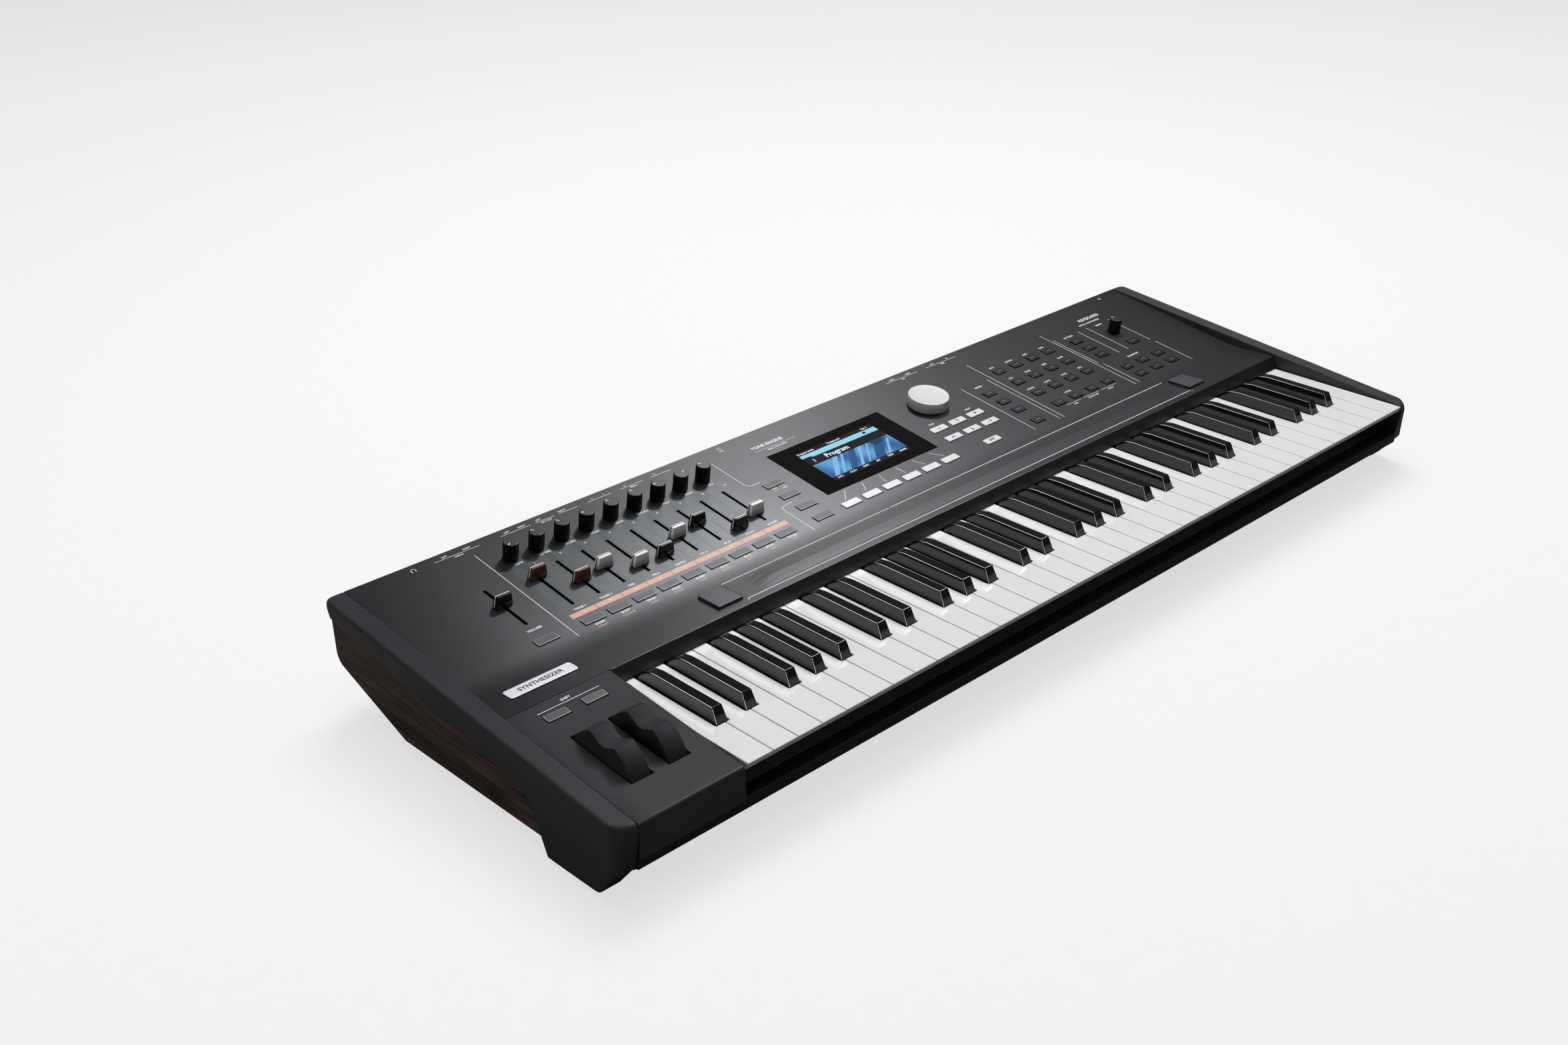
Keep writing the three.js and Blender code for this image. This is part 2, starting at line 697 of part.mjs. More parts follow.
// The five or eight white keys of one moulding: tops with a thin front lip, deeper behind it, notched for
// the black keys and joined by a web under their back ends.
function whiteKeys(octave) {
  const first = octave * 7;
  const count = octave === OCTAVES - 1 ? 8 : 7;
  const keys = row(count, first, 1).map((index) =>
    alongX(
      [
        [0.3, -1], [1.3, 0], [KEY_END_Y, 0], [KEY_END_Y, WEB.top - 1], [150, WEB.top - 1], [140, -15],
        [12, -15], [12, -5.2], [0.3, -5.2],
      ],
      index * WHITE_PITCH + WHITE_GAP / 2,
      (index + 1) * WHITE_PITCH - WHITE_GAP / 2,
    ),
  );
  const left = first * WHITE_PITCH + WHITE_GAP / 2;
  const right = (first + count) * WHITE_PITCH - WHITE_GAP / 2;
  const web = box(left, WEB.whiteFront, WEB.bottom, right, KEY_END_Y, WEB.top);
  const notches = SHARPS.map((sharp) => {
    const centre = sharpCentre(octave, sharp);
    const half = SHARP.width / 2 + 1;
    return box(centre - half, SHARP.front - 1, -20, centre + half, KEY_END_Y + 1, 5);
  });
  return join(cut(join(...keys), ...notches), web);
}

// One black key: bevelled front and sides, its top falling away before it passes under the panel.
function blackKey(centre) {
  const side = alongX(
    [
      [SHARP.front, -9], [SHARP.front, 0], [SHARP.front + 5.5, SHARP.height - 0.8],
      [SHARP.front + 7, SHARP.height], [112, SHARP.height - 0.6], [126, 8], [135.5, -1], [160, -1.2],
      [198, -1.2], [198, -4.4], [150, -4.4], [140, -9],
    ],
    centre - SHARP.width / 2,
    centre + SHARP.width / 2,
  );
  const slimmer = (SHARP.width - SHARP.topWidth) / 2;
  const flanks = [-1, 1].map((hand) => {
    const shape = shapeOf([
      [hand * (SHARP.width / 2 + 0.01), 0.5],
      [hand * (SHARP.width / 2 - slimmer), SHARP.height + 1],
      [hand * (SHARP.width / 2 + 3), SHARP.height + 1],
      [hand * (SHARP.width / 2 + 3), 0.5],
    ]);
    const geometry = new THREE.ExtrudeGeometry(shape, { depth: 100, bevelEnabled: false });
    geometry.rotateX(Math.PI / 2);
    geometry.translate(centre, SHARP.front + 99, 0);
    return solid(geometry);
  });
  return cut(side, ...flanks);
}

function blackKeys(octave) {
  const centres = SHARPS.map((sharp) => sharpCentre(octave, sharp));
  const web = box(
    centres[0] - SHARP.width / 2, WEB.blackFront, -8,
    centres[4] + SHARP.width / 2, WEB.blackRear, -1.2,
  );
  return join(...centres.map(blackKey), web);
}

// ---------------------------------------------------------------- moving controls

const wheelPivot = () => {
  const s = blockFace.along(WHEEL.centreY);
  return new THREE.Vector3(0, s, -WHEEL.drop).applyMatrix4(blockFace.matrix);
};

function wheelRod(x, halfLength, radius) {
  const pivot = wheelPivot();
  return rod(x - halfLength, x + halfLength, pivot.y, pivot.z, radius, 12);
}

// A thumb wheel: a disc with its top cut to two crests and a thumb valley, on a short axle.
function thumbWheel(x) {
  const { radius, crest, dip, width, drop } = WHEEL;
  const crestAngle = Math.asin(crest / radius);
  const shape = new THREE.Shape();
  const steps = 26;
  for (let i = 0; i <= steps; i++) {
    const turn = crestAngle + (i / steps) * (2 * Math.PI - 2 * crestAngle);
    shape[i ? "lineTo" : "moveTo"](radius * Math.sin(turn), radius * Math.cos(turn));
  }
  const crestHeight = radius * Math.cos(crestAngle);
  shape.lineTo(-2.5, crestHeight - dip);
  shape.lineTo(2.5, crestHeight - dip);
  const disc = alongX(shape, x - width / 2, x + width / 2);
  const atPivot = new THREE.Matrix4().makeTranslation(0, blockFace.along(WHEEL.centreY), -drop);
  return join(blockFace.place(disc.transform(atPivot.elements)), wheelRod(x, width / 2 + 4.4, 3));
}

// A slide control: a tapered cap on a thin stem that goes down through its slot.
function slider(x, restY) {
  const s = panelFace.along(restY);
  const cap = taperedBox(x, s, 0.8, 11, [15.2, 6.6], [12.6, 4.6]);
  const stem = box(x - 0.9, s - 2.2, -11, x + 0.9, s + 2.2, 3);
  return panelFace.place(join(cap, stem));
}

// A knob: a slightly conical cap with a rounded crown on a shaft that goes down through the panel.
function knob(place) {
  const s = panelFace.along(place.y);
  const body = cylinder(place.x, s, 0.6, KNOB_HEIGHT - 0.8, KNOB_RADIUS, KNOB_RADIUS - 0.5);
  const crown = cylinder(place.x, s, KNOB_HEIGHT - 0.8, KNOB_HEIGHT, KNOB_RADIUS - 0.5, KNOB_RADIUS - 1.3);
  const shaft = cylinder(place.x, s, -11, 1, 3, 3, 8);
  return panelFace.place(join(body, crown, shaft));
}

// The data wheel: a broad, low dial with a softened rim.
function dataWheel() {
  const { x, y, radius, height } = DATA_WHEEL;
  const s = panelFace.along(y);
  const body = cylinder(x, s, 0.8, height - 1.2, radius, radius - 0.3, 40);
  const rim = cylinder(x, s, height - 1.2, height, radius - 0.3, radius - 1.5, 40);
  const shaft = cylinder(x, s, -11, 1, 3, 3, 12);
  return panelFace.place(join(body, rim, shaft));
}

// A bank of buttons moulded on one web, which lies under the panel and moves with them.
function buttonBank({ face, size, places, webs }) {
  const margin = size.depth / 2 + 0.5;
  const keys = places.map(({ x, y }) => {
    const s = face.along(y);
    return box(
      x - size.width / 2, s - size.depth / 2, WEB_TOP - WEB_THICKNESS / 2,
      x + size.width / 2, s + size.depth / 2, BUTTON_STANDS,
    );
  });
  const strips = webs.map(([x0, y0, x1, y1]) =>
    box(
      x0 - margin, face.along(y0) - margin, WEB_TOP - WEB_THICKNESS,
      x1 + margin, face.along(y1) + margin, WEB_TOP,
    ),
  );
  return face.place(join(...keys, ...strips));
}

// The two raised pads at the ends of the ribbon, joined by a narrow bar under the front strip.
function endPads() {
  const s = stripFace.along(PAD.y);
  const bar = stripFace.place(box(PAD.centres[0], s - 4, -6.6, PAD.centres[1], s + 4, -5));
  return join(bar, ...PAD.centres.map((x) => padColumn(x, -5.6, PAD.stands)));
}

// ---------------------------------------------------------------- assembly

addPart("bottom_case", bottomCase(), "casing");
addPart("top_panel", topPanel(), "panel");
addPart("rear_panel", rearPanel(), "casing");
addPart("left_cheek", cheek(LEFT_INSIDE, LEFT_OUTSIDE), "casing");
addPart("right_cheek", cheek(RIGHT_INSIDE, RIGHT_OUTSIDE), "casing");
addPart("left_wood_side", woodSide(LEFT_INSIDE, LEFT_OUTSIDE), "wood");
addPart("right_wood_side", woodSide(RIGHT_INSIDE, RIGHT_OUTSIDE), "wood");
addPart("controller_block", controllerBlock(), "casing");
addPart("front_rail", frontRail(), "casing");
addPart("keybed_chassis", keybedChassis(), "silver");
addPart("main_board", mainBoard(), "board");
addPart("jack_board", jackBoard(), "board");
addPart("display_glass", displayGlass(), "glass");
addPart("display_module", displayModule(), "silver");
addPart("ribbon_strip", ribbonStrip(), "rubber");
addPart("name_plate", namePlate(), "silver");

addPart("front_left_foot", foot(-72, 50), "rubber");
addPart("front_right_foot", foot(824, 50), "rubber");
addPart("rear_left_foot", foot(-72, 232), "rubber");
addPart("rear_right_foot", foot(824, 232), "rubber");

for (let octave = 0; octave < OCTAVES; octave++) {
  addPart(`white_keys_${octave + 1}`, whiteKeys(octave), "white_key");
  addPart(`black_keys_${octave + 1}`, blackKeys(octave), "black_key");
}

addPart("pitch_wheel", thumbWheel(WHEEL_X[0]), "rubber");
addPart("mod_wheel", thumbWheel(WHEEL_X[1]), "rubber");
addPart("data_wheel", dataWheel(), "white_button");
addPart("tempo_knob", knob(TEMPO), "knob");
knobPlaces.forEach((place, i) => addPart(`knob_${i + 1}`, knob(place), "knob"));

const capFinishes = [
  "cap_red", "cap_red", "cap_grey", "cap_grey", "cap_black", "cap_grey", "cap_black", "cap_black", "cap_grey",
];
addPart("volume_fader", slider(VOLUME_X, VOLUME_REST_Y), "cap_black");
sliderXs.forEach((x, i) => addPart(`fader_${i + 1}`, slider(x, SLIDER_REST_Y[i]), capFinishes[i]));

for (const [name, bank] of Object.entries(buttonBanks)) {
  addPart(name, buttonBank(bank), bank.finish);
}
addPart("end_pads", endPads(), "rubber");
addPart("power_switch", powerSwitch(), "cap_black");

const model = new THREE.Group();
instrument.position.set(-(LEFT_OUTSIDE + RIGHT_OUTSIDE) / 2, -DEPTH / 2, FOOT_DROP);
model.add(instrument);

export default model;
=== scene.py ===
"""Looks for the 61-key synthesizer: finer keys, controls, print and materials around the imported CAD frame.

Lengths are millimetres in the instrument's own axes: the origin is the front left top corner of the lowest
white key, X runs along the keys, Y back and Z up. They become metres in the CAD frame when a piece is made.
Only the camera, the floor and the lamps are placed in metres.
"""

import math

import bmesh
import bpy
from mathutils import Matrix, Vector


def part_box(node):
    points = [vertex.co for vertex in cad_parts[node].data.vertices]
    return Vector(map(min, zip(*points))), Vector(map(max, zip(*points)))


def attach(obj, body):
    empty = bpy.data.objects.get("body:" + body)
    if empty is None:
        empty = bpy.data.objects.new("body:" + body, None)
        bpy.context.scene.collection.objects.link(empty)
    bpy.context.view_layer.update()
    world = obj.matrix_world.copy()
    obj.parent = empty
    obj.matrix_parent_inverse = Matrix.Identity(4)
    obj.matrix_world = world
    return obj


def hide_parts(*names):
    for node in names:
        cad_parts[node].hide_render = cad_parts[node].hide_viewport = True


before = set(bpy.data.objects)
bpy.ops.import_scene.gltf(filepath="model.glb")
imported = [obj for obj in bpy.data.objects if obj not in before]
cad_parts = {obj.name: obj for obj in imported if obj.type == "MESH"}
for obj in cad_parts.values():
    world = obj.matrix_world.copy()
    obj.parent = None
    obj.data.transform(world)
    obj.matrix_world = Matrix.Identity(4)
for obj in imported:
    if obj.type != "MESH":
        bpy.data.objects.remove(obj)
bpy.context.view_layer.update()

# ---------------------------------------------------------------- where things are, read from the frame

MM = 0.001
WHITE_PITCH = 23.5
KEY_SIDE_GAP = 0.8
KEY_FRONT = 0.3
OCTAVES = 5

low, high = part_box("white_keys_1")
ORIGIN = Vector((low.x - KEY_SIDE_GAP / 2 * MM, low.y - KEY_FRONT * MM, high.z))


def millimetres(node):
    """A CAD node's lowest and highest corners in the instrument's axes."""
    low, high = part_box(node)
    return (low - ORIGIN) / MM, (high - ORIGIN) / MM


def centre_of(node):
    """The middle of a CAD node's box."""
    low, high = millimetres(node)
    return (low + high) / 2


class Face:
    """A sloping surface that carries controls: local X is the instrument's X, local Y runs up the slope."""

    def __init__(self, y, z, angle):
        self.y = y
        self.z = z
        self.angle = angle
        self.plane = Matrix.Translation((0, y, z)) @ Matrix.Rotation(angle, 4, "X")

    def up(self, y):
        """How far up the slope a depth y lies."""
        return (y - self.y) / math.cos(self.angle)

    def depth(self, distance):
        """The depth y that lies this distance up the slope."""
        return self.y + distance * math.cos(self.angle)

    def height(self, y):
        """Height of the surface at depth y."""
        return self.z + (y - self.y) * math.tan(self.angle)

    def at(self, x, y, height=0.0):
        """Matrix that puts a piece drawn at its own origin at depth y on the surface."""
        return self.plane @ Matrix.Translation((x, self.up(y), height))


PANEL_ANGLE = math.radians(8)
BEND_Y = 188
BEND = 12
STRIP_FRONT = Vector((0, 143.3, 12))
WALL_FOOT = Vector((0, 138, 1))
BLOCK_DEPTH = 142.9
BLOCK_RISE = 13
GAP = 0.3

panel_top = millimetres("top_panel")[1]
panel = Face(panel_top.y, panel_top.z, PANEL_ANGLE)
bend_z = panel.height(BEND_Y)
strip = Face(STRIP_FRONT.y, STRIP_FRONT.z, math.atan2(bend_z - STRIP_FRONT.z, BEND_Y - STRIP_FRONT.y))
block = Face(0, -1, math.atan2(BLOCK_RISE, BLOCK_DEPTH))


def panel_height(y):
    """Height of the top panel's face at depth y: the panel, a rounded bend and the front strip."""
    if y >= BEND_Y + BEND:
        return panel.height(y)
    if y <= BEND_Y - BEND:
        return strip.height(y)
    t = (y - (BEND_Y - BEND)) / (2 * BEND)
    return bezier(strip.height(BEND_Y - BEND), bend_z, panel.height(BEND_Y + BEND), t)


def bezier(start, control, end, t):
    """The value a share t of the way along a quadratic curve."""
    return (1 - t) ** 2 * start + 2 * t * (1 - t) * control + t * t * end


# ---------------------------------------------------------------- procedural materials


def wire(tree, node, values):
    """Sets a node's inputs: a socket is linked, anything else becomes the input's own value."""
    for name, value in values.items():
        if isinstance(value, bpy.types.NodeSocket):
            tree.links.new(value, node.inputs[name])
        else:
            node.inputs[name].default_value = value
    return node


def add_node(tree, kind, values):
    """Adds a shader node with its inputs set or linked."""
    return wire(tree, tree.nodes.new("ShaderNode" + kind), values)


def new_material(name):
    """An empty material with one principled shader, and the coordinates its patterns are placed by."""
    material = bpy.data.materials.new(name)
    material.use_nodes = True
    tree = material.node_tree
    tree.nodes.clear()
    shader = add_node(tree, "BsdfPrincipled", {})
    add_node(tree, "OutputMaterial", {"Surface": shader.outputs["BSDF"]})
    return material, tree, shader, add_node(tree, "TexCoord", {}).outputs["Object"]


def noise(tree, place, scale, detail=2.0, stretch=None):
    """Fractal noise from 0 to 1, drawn out along the axes where a stretch is given."""
    if stretch:
        place = add_node(tree, "Mapping", {"Vector": place, "Scale": stretch}).outputs["Vector"]
    return add_node(tree, "TexNoise", {"Vector": place, "Scale": scale, "Detail": detail}).outputs["Fac"]


def ramp(tree, factor, stops):
    """Colours along a factor, from stops of (position, colour)."""
    node = add_node(tree, "ValToRGB", {"Fac": factor})
    while len(node.color_ramp.elements) < len(stops):
        node.color_ramp.elements.new(0.5)
    for element, (position, colour) in zip(node.color_ramp.elements, stops):
        element.position = position
        element.color = (*colour, 1)
    return node.outputs["Color"]


def spread(tree, factor, low, high):
    """A factor of 0 to 1 spread over low to high."""
    return add_node(tree, "MapRange", {"Value": factor, "To Min": low, "To Max": high}).outputs["Result"]


def bump(tree, height, strength, distance):
    """Surface relief from a height pattern."""
    values = {"Height": height, "Strength": strength, "Distance": distance}
    return add_node(tree, "Bump", values).outputs["Normal"]


def arithmetic(tree, operation, *values):
    """A sum over sockets and plain numbers."""
    node = add_node(tree, "Math", dict(enumerate(values)))
    node.operation = operation
    return node.outputs["Value"]


def shade(colour, factor):
    """A colour made darker or lighter."""
    return tuple(channel * factor for channel in colour)


def tinted(tree, factor, colour, dark, light):
    """A colour that varies between a darker and a lighter tone with a factor."""
    return ramp(tree, factor, [(0.3, shade(colour, dark)), (0.7, shade(colour, light))])


def moulded(name, colour, roughness, grain=1600, relief=0.08, mottle=0.12, coat=0.0, specular=0.5):
    """Moulded plastic or paint: fine spark-eroded grain, slight cloudiness and uneven gloss."""
    material, tree, shader, place = new_material(name)
    cloud = noise(tree, place, 14, 3)
    fine = noise(tree, place, grain, 2)
    wire(tree, shader, {
        "Base Color": tinted(tree, cloud, colour, 1 - mottle, 1 + mottle),
        "Roughness": spread(tree, fine, roughness - 0.06, roughness + 0.06),
        "Normal": bump(tree, fine, relief, 0.0002),
        "Coat Weight": coat,
        "Coat Roughness": 0.08,
        "Specular IOR Level": specular,
    })
    return material


def wood(name):
    """Dark rosewood veneer: fine dark and red-brown streaks along the side, broad bands and open pores."""
    material, tree, shader, place = new_material(name)
    broad = noise(tree, place, 12, 4, stretch=(8, 0.8, 9))
    streak = noise(tree, place, 130, 6, stretch=(4, 0.16, 5))
    pores = noise(tree, place, 620, 3, stretch=(3, 0.07, 4))
    figure = arithmetic(tree, "MULTIPLY_ADD", streak, 0.6, arithmetic(tree, "MULTIPLY", broad, 0.4))
    stops = [
        (0.38, (0.016, 0.009, 0.007)),
        (0.47, (0.040, 0.024, 0.019)),
        (0.54, (0.070, 0.043, 0.035)),
        (0.64, (0.115, 0.070, 0.058)),
    ]
    wire(tree, shader, {
        "Base Color": ramp(tree, figure, stops),
        "Roughness": spread(tree, pores, 0.36, 0.6),
        "Normal": bump(tree, pores, 0.3, 0.0003),
    })
    return material


def brushed(name, colour, roughness, stretch, metallic):
    """Brushed or rolled metal with fine lines along one direction."""
    material, tree, shader, place = new_material(name)
    lines = noise(tree, place, 500, 3, stretch=stretch)
    wire(tree, shader, {
        "Base Color": tinted(tree, lines, colour, 0.85, 1.1),
        "Roughness": spread(tree, lines, roughness - 0.08, roughness + 0.1),
        "Normal": bump(tree, lines, 0.1, 0.0001),
        "Metallic": metallic,
    })
    return material


def ink(name, colour):
    """Screen-printed ink with a slightly uneven film."""
    material, tree, shader, place = new_material(name)
    uneven = ramp(tree, noise(tree, place, 900, 2), [(0.25, shade(colour, 0.88)), (0.6, colour)])
    wire(tree, shader, {"Base Color": uneven, "Roughness": 0.5})
    return material


def screen(name, colour=None):
    """A lit part of the display under its glass: one colour, finely uneven, or slanting light bands."""
    material, tree, shader, place = new_material(name)
    if colour:
        tone = tinted(tree, noise(tree, place, 2400, 1), colour, 0.9, 1.05)
    else:
        tone = light_bands(tree, place)
    wire(tree, shader, {
        "Emission Color": tone,
        "Emission Strength": 1.0,
        "Base Color": (0.01, 0.01, 0.01, 1),
        "Roughness": 0.1,
    })
    return material


def light_bands(tree, place):
    """Soft slanting light bands on blue, the display's resting picture."""
    slanting = add_node(tree, "Mapping", {"Vector": place, "Rotation": (0, 0, math.radians(-32))})
    wave = add_node(tree, "TexWave", {
        "Vector": slanting.outputs["Vector"],
        "Scale": 9,
        "Distortion": 1.5,
        "Detail": 3,
        "Detail Scale": 2,
    })
    blues = [(0.0, (0.03, 0.13, 0.30)), (0.5, (0.07, 0.24, 0.50)), (1.0, (0.13, 0.36, 0.66))]
    return ramp(tree, wave.outputs["Fac"], blues)


# A moulded finish has a name, a colour, a roughness, the scale of its grain and the depth of its relief.
CASING = moulded("casing_plastic", (0.030, 0.0315, 0.035), 0.42, 1700, 0.2, specular=0.4)
RAIL = moulded("rail_plastic", (0.010, 0.010, 0.011), 0.46, 1700, 0.15, specular=0.3)
PANEL = moulded("panel_paint", (0.0085, 0.0092, 0.0108), 0.353, 2400, 0.1)
BAY = moulded("slider_bay_paint", (0.012, 0.018, 0.0175), 0.37, 2400, 0.1)
RIBBON_PAD = moulded("ribbon_paint", (0.0075, 0.0082, 0.0098), 0.375, 2400, 0.1)
WOOD = wood("rosewood")
WHITE_KEY = moulded("white_key_plastic", (0.83, 0.825, 0.825), 0.2, 500, 0.02, mottle=0.01, coat=0.25)
BLACK_KEY = moulded("black_key_plastic", (0.004, 0.004, 0.0045), 0.11, 900, 0.02, mottle=0.1, coat=0.3)
KNOB = moulded("knob_plastic", (0.006, 0.006, 0.0065), 0.42, 1800, 0.15, specular=0.3)
# The knob top is a glossier, lighter copy of the knob plastic: its gloss catches the lamps, and its lighter
# colour is partly painted sheen.
KNOB_TOP_SHEEN = moulded("knob_top_painted_sheen", (0.012, 0.012, 0.013), 0.36, 2200, 0.1, specular=0.4)
CAP_BLACK = moulded("cap_black_plastic", (0.010, 0.010, 0.011), 0.3)
CAP_GREY = moulded("cap_grey_plastic", (0.90, 0.85, 0.85), 0.34, mottle=0.04)
CAP_RED = moulded("cap_red_plastic", (0.135, 0.042, 0.028), 0.32)
GREY_BUTTON = moulded("grey_button_plastic", (0.018, 0.019, 0.021), 0.48, relief=0.12, specular=0.36)
# The pale rim on the grey buttons' top edges is a painted highlight, standing in for light caught by the
# edge.
BUTTON_RIM_HIGHLIGHT = moulded("button_rim_painted_highlight", (0.42, 0.425, 0.43), 0.32)
DARK_BUTTON = moulded("dark_button_plastic", (0.006, 0.006, 0.0065), 0.38, relief=0.1, specular=0.25)
WHITE_BUTTON = moulded("white_button_plastic", (0.7, 0.705, 0.71), 0.36, 900, 0.04, mottle=0.015)
DIAL = moulded("data_wheel_plastic", (0.66, 0.64, 0.635), 0.38, 900, 0.05, mottle=0.015)
RUBBER = moulded("soft_rubber", (0.028, 0.029, 0.032), 0.6, 1200, 0.25, specular=0.3)
PAD_RUBBER = moulded("pad_rubber", (0.026, 0.027, 0.031), 0.45, 1200, 0.2)
GLASS = moulded("display_glass_black", (0.006, 0.005, 0.0045), 0.06, 300, 0.0, mottle=0.2, specular=0.3)
BOARD = moulded("board_green", (0.012, 0.06, 0.03), 0.45, 700, 0.3, mottle=0.25)
SILVER = brushed("badge_silver", (0.80, 0.81, 0.83), 0.4, (0.2, 6, 1), metallic=0.35)
STEEL = brushed("zinc_steel", (0.42, 0.42, 0.43), 0.35, (0.3, 4, 1), metallic=0.85)
WHITE_INK = ink("white_ink", (0.80, 0.81, 0.82))
GREY_INK = ink("grey_ink", (0.085, 0.09, 0.092))
ORANGE_INK = ink("orange_ink", (0.62, 0.30, 0.185))
BLACK_INK = ink("black_ink", (0.01, 0.01, 0.01))

# ---------------------------------------------------------------- mesh building


def rounded_rectangle(width, depth, radius, steps=4):
    """Plan outline of a rectangle with round corners, anticlockwise, centred on the origin."""
    points = []
    for quarter in range(4):
        turn = math.radians(90 * quarter)
        cx = (width / 2 - radius) * (1 if quarter in (0, 3) else -1)
        cy = (depth / 2 - radius) * (1 if quarter in (0, 1) else -1)
        for i in range(steps + 1):
            angle = turn + math.radians(90) * i / steps
            points.append((cx + radius * math.cos(angle), cy + radius * math.sin(angle)))
    return points


def rectangle(x0, y0, x1, y1):
    """Plan outline of a plain rectangle."""
    return [(x0, y0), (x1, y0), (x1, y1), (x0, y1)]


class Sculpt:
    """Collects closed shapes, in instrument millimetres, for one piece."""

    def __init__(self):
        self.bm = bmesh.new()

    def loft(self, rings, place=Matrix.Identity(4), material=0, smooth=True):
        """Closed skin through rings of points, capped at both ends."""
        loops = [[self.bm.verts.new(place @ Vector(point)) for point in ring] for ring in rings]
        count = len(loops[0])
        faces = []
        for below, above in zip(loops, loops[1:]):
            for i in range(count):
                j = (i + 1) % count
                faces.append(self.bm.faces.new((below[i], below[j], above[j], above[i])))
        for face in faces:
            face.smooth = smooth
        faces.append(self.bm.faces.new(list(reversed(loops[0]))))
        faces.append(self.bm.faces.new(loops[-1]))
        for face in faces:
            face.material_index = material

    def prism(self, outline, bottom, top, place=Matrix.Identity(4), material=0):
        """A plan outline made solid between two heights."""
        self.loft([[(x, y, z) for x, y in outline] for z in (bottom, top)], place, material, smooth=False)

    def slab(self, outline, x0, x1):
        """A side outline of (y, z) points made solid between two places along X."""
        self.loft([[(x, y, z) for y, z in outline] for x in (x0, x1)], smooth=False)

    def lathe(self, profile, place, sides=48, material=0, flutes=0, flute_depth=0.0):
        """A round shape from a profile of (radius, height), closed at both ends, its widest part fluted."""
        widest = max(radius for radius, _ in profile)
        rings = []
        for radius, height in profile:
            depth = flute_depth if radius > widest - 0.2 else 0.0
            ring = []
            for i in range(sides):
                turn = 2 * math.pi * i / sides
                r = radius - depth * (0.5 - 0.5 * math.cos(flutes * turn))
                ring.append((r * math.cos(turn), r * math.sin(turn), height))
            rings.append(ring)
        self.loft(rings, place, material)

    def pillow(self, width, depth, radius, bottom, top, place, material=0, edge=0.5, rim=None):
        """A moulded cap with round corners and a rounded top edge, which may take a lighter material as a
        painted highlight.
        """
        start = len(self.bm.faces)
        rings = [[(x, y, bottom) for x, y in rounded_rectangle(width, depth, radius)]]
        for i in range(5):
            turn = math.radians(90) * i / 4
            inset = edge * (1 - math.cos(turn))
            plan = rounded_rectangle(width - 2 * inset, depth - 2 * inset, max(radius - inset * 0.6, 0.1))
            rings.append([(x, y, top - edge + edge * math.sin(turn)) for x, y in plan])
        self.loft(rings, place, material)
        if rim is None:
            return
        back = place.inverted()
        # Faces on the rounded top edge take the rim material, on the grey buttons a painted highlight.
        self.bm.faces.ensure_lookup_table()
        for face in self.bm.faces[start:]:
            lowest = min((back @ vertex.co).z for vertex in face.verts)
            if lowest > top - edge * 1.01 and len(face.verts) == 4:
                face.material_index = rim

    def sheet(self, rows, columns, openings, thickness, lower):
        """A bent sheet with rectangular openings. Each row is (y, z, normal y, normal z); an opening is
        (x0, x1, y0, y1); lower(x) drops the top face, to round an end."""
        line_count, column_count = len(rows) - 1, len(columns) - 1
        made = {}

        def is_open(i, j):
            x = (columns[j] + columns[j + 1]) / 2
            y = (rows[i][0] + rows[i + 1][0]) / 2
            return any(x0 < x < x1 and y0 < y < y1 for x0, x1, y0, y1 in openings)

        solid = [[not is_open(i, j) for j in range(column_count)] for i in range(line_count)]

        def is_solid(i, j):
            return 0 <= i < line_count and 0 <= j < column_count and solid[i][j]

        def point(i, j, under):
            key = (i, j, under)
            if key not in made:
                y, z, ny, nz = rows[i]
                depth = thickness if under else lower(columns[j])
                made[key] = self.bm.verts.new((columns[j], y - ny * depth, z - nz * depth))
            return made[key]

        for i in range(line_count):
            for j in range(column_count):
                if not solid[i][j]:
                    continue
                corners = ((i, j), (i, j + 1), (i + 1, j + 1), (i + 1, j))
                self.bm.faces.new([point(*corner, False) for corner in corners])
                self.bm.faces.new([point(*corner, True) for corner in reversed(corners)])
                neighbours = ((i - 1, j), (i, j + 1), (i + 1, j), (i, j - 1))
                for side, neighbour in enumerate(neighbours):
                    if is_solid(*neighbour):
                        continue
                    a, b = corners[side], corners[(side + 1) % 4]
                    self.bm.faces.new([point(*b, False), point(*a, False), point(*a, True), point(*b, True)])

    def finish(self, name, materials, body, slot, replaces=(), bevel=0.0, segments=2, smooth=False):
        """Turns the collected shapes into a piece that rides on a CAD body."""
        bmesh.ops.recalc_face_normals(self.bm, faces=self.bm.faces)
        if smooth:
            for face in self.bm.faces:
                face.smooth = True
        for vertex in self.bm.verts:
            vertex.co = ORIGIN + vertex.co * MM
        mesh = bpy.data.meshes.new(name)
        self.bm.to_mesh(mesh)
        self.bm.free()
        for material in materials:
            mesh.materials.append(material)
        piece = bpy.data.objects.new(name, mesh)
        bpy.context.scene.collection.objects.link(piece)
        if bevel:
            round_edges(piece, bevel, segments)
            piece.modifiers["rounded_edges"].harden_normals = smooth
        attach(piece, body)
        if replaces:
            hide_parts(*replaces)
        return piece


def round_edges(piece, width, segments):
    """A bevel on every edge sharper than 30 degrees."""
    bevel = piece.modifiers.new("rounded_edges", "BEVEL")
    bevel.width = width * MM
    bevel.segments = segments
    bevel.limit_method = "ANGLE"
    bevel.angle_limit = math.radians(30)
    bevel.use_clamp_overlap = True
    bevel.harden_normals = False
    bevel.miter_outer = "MITER_ARC"


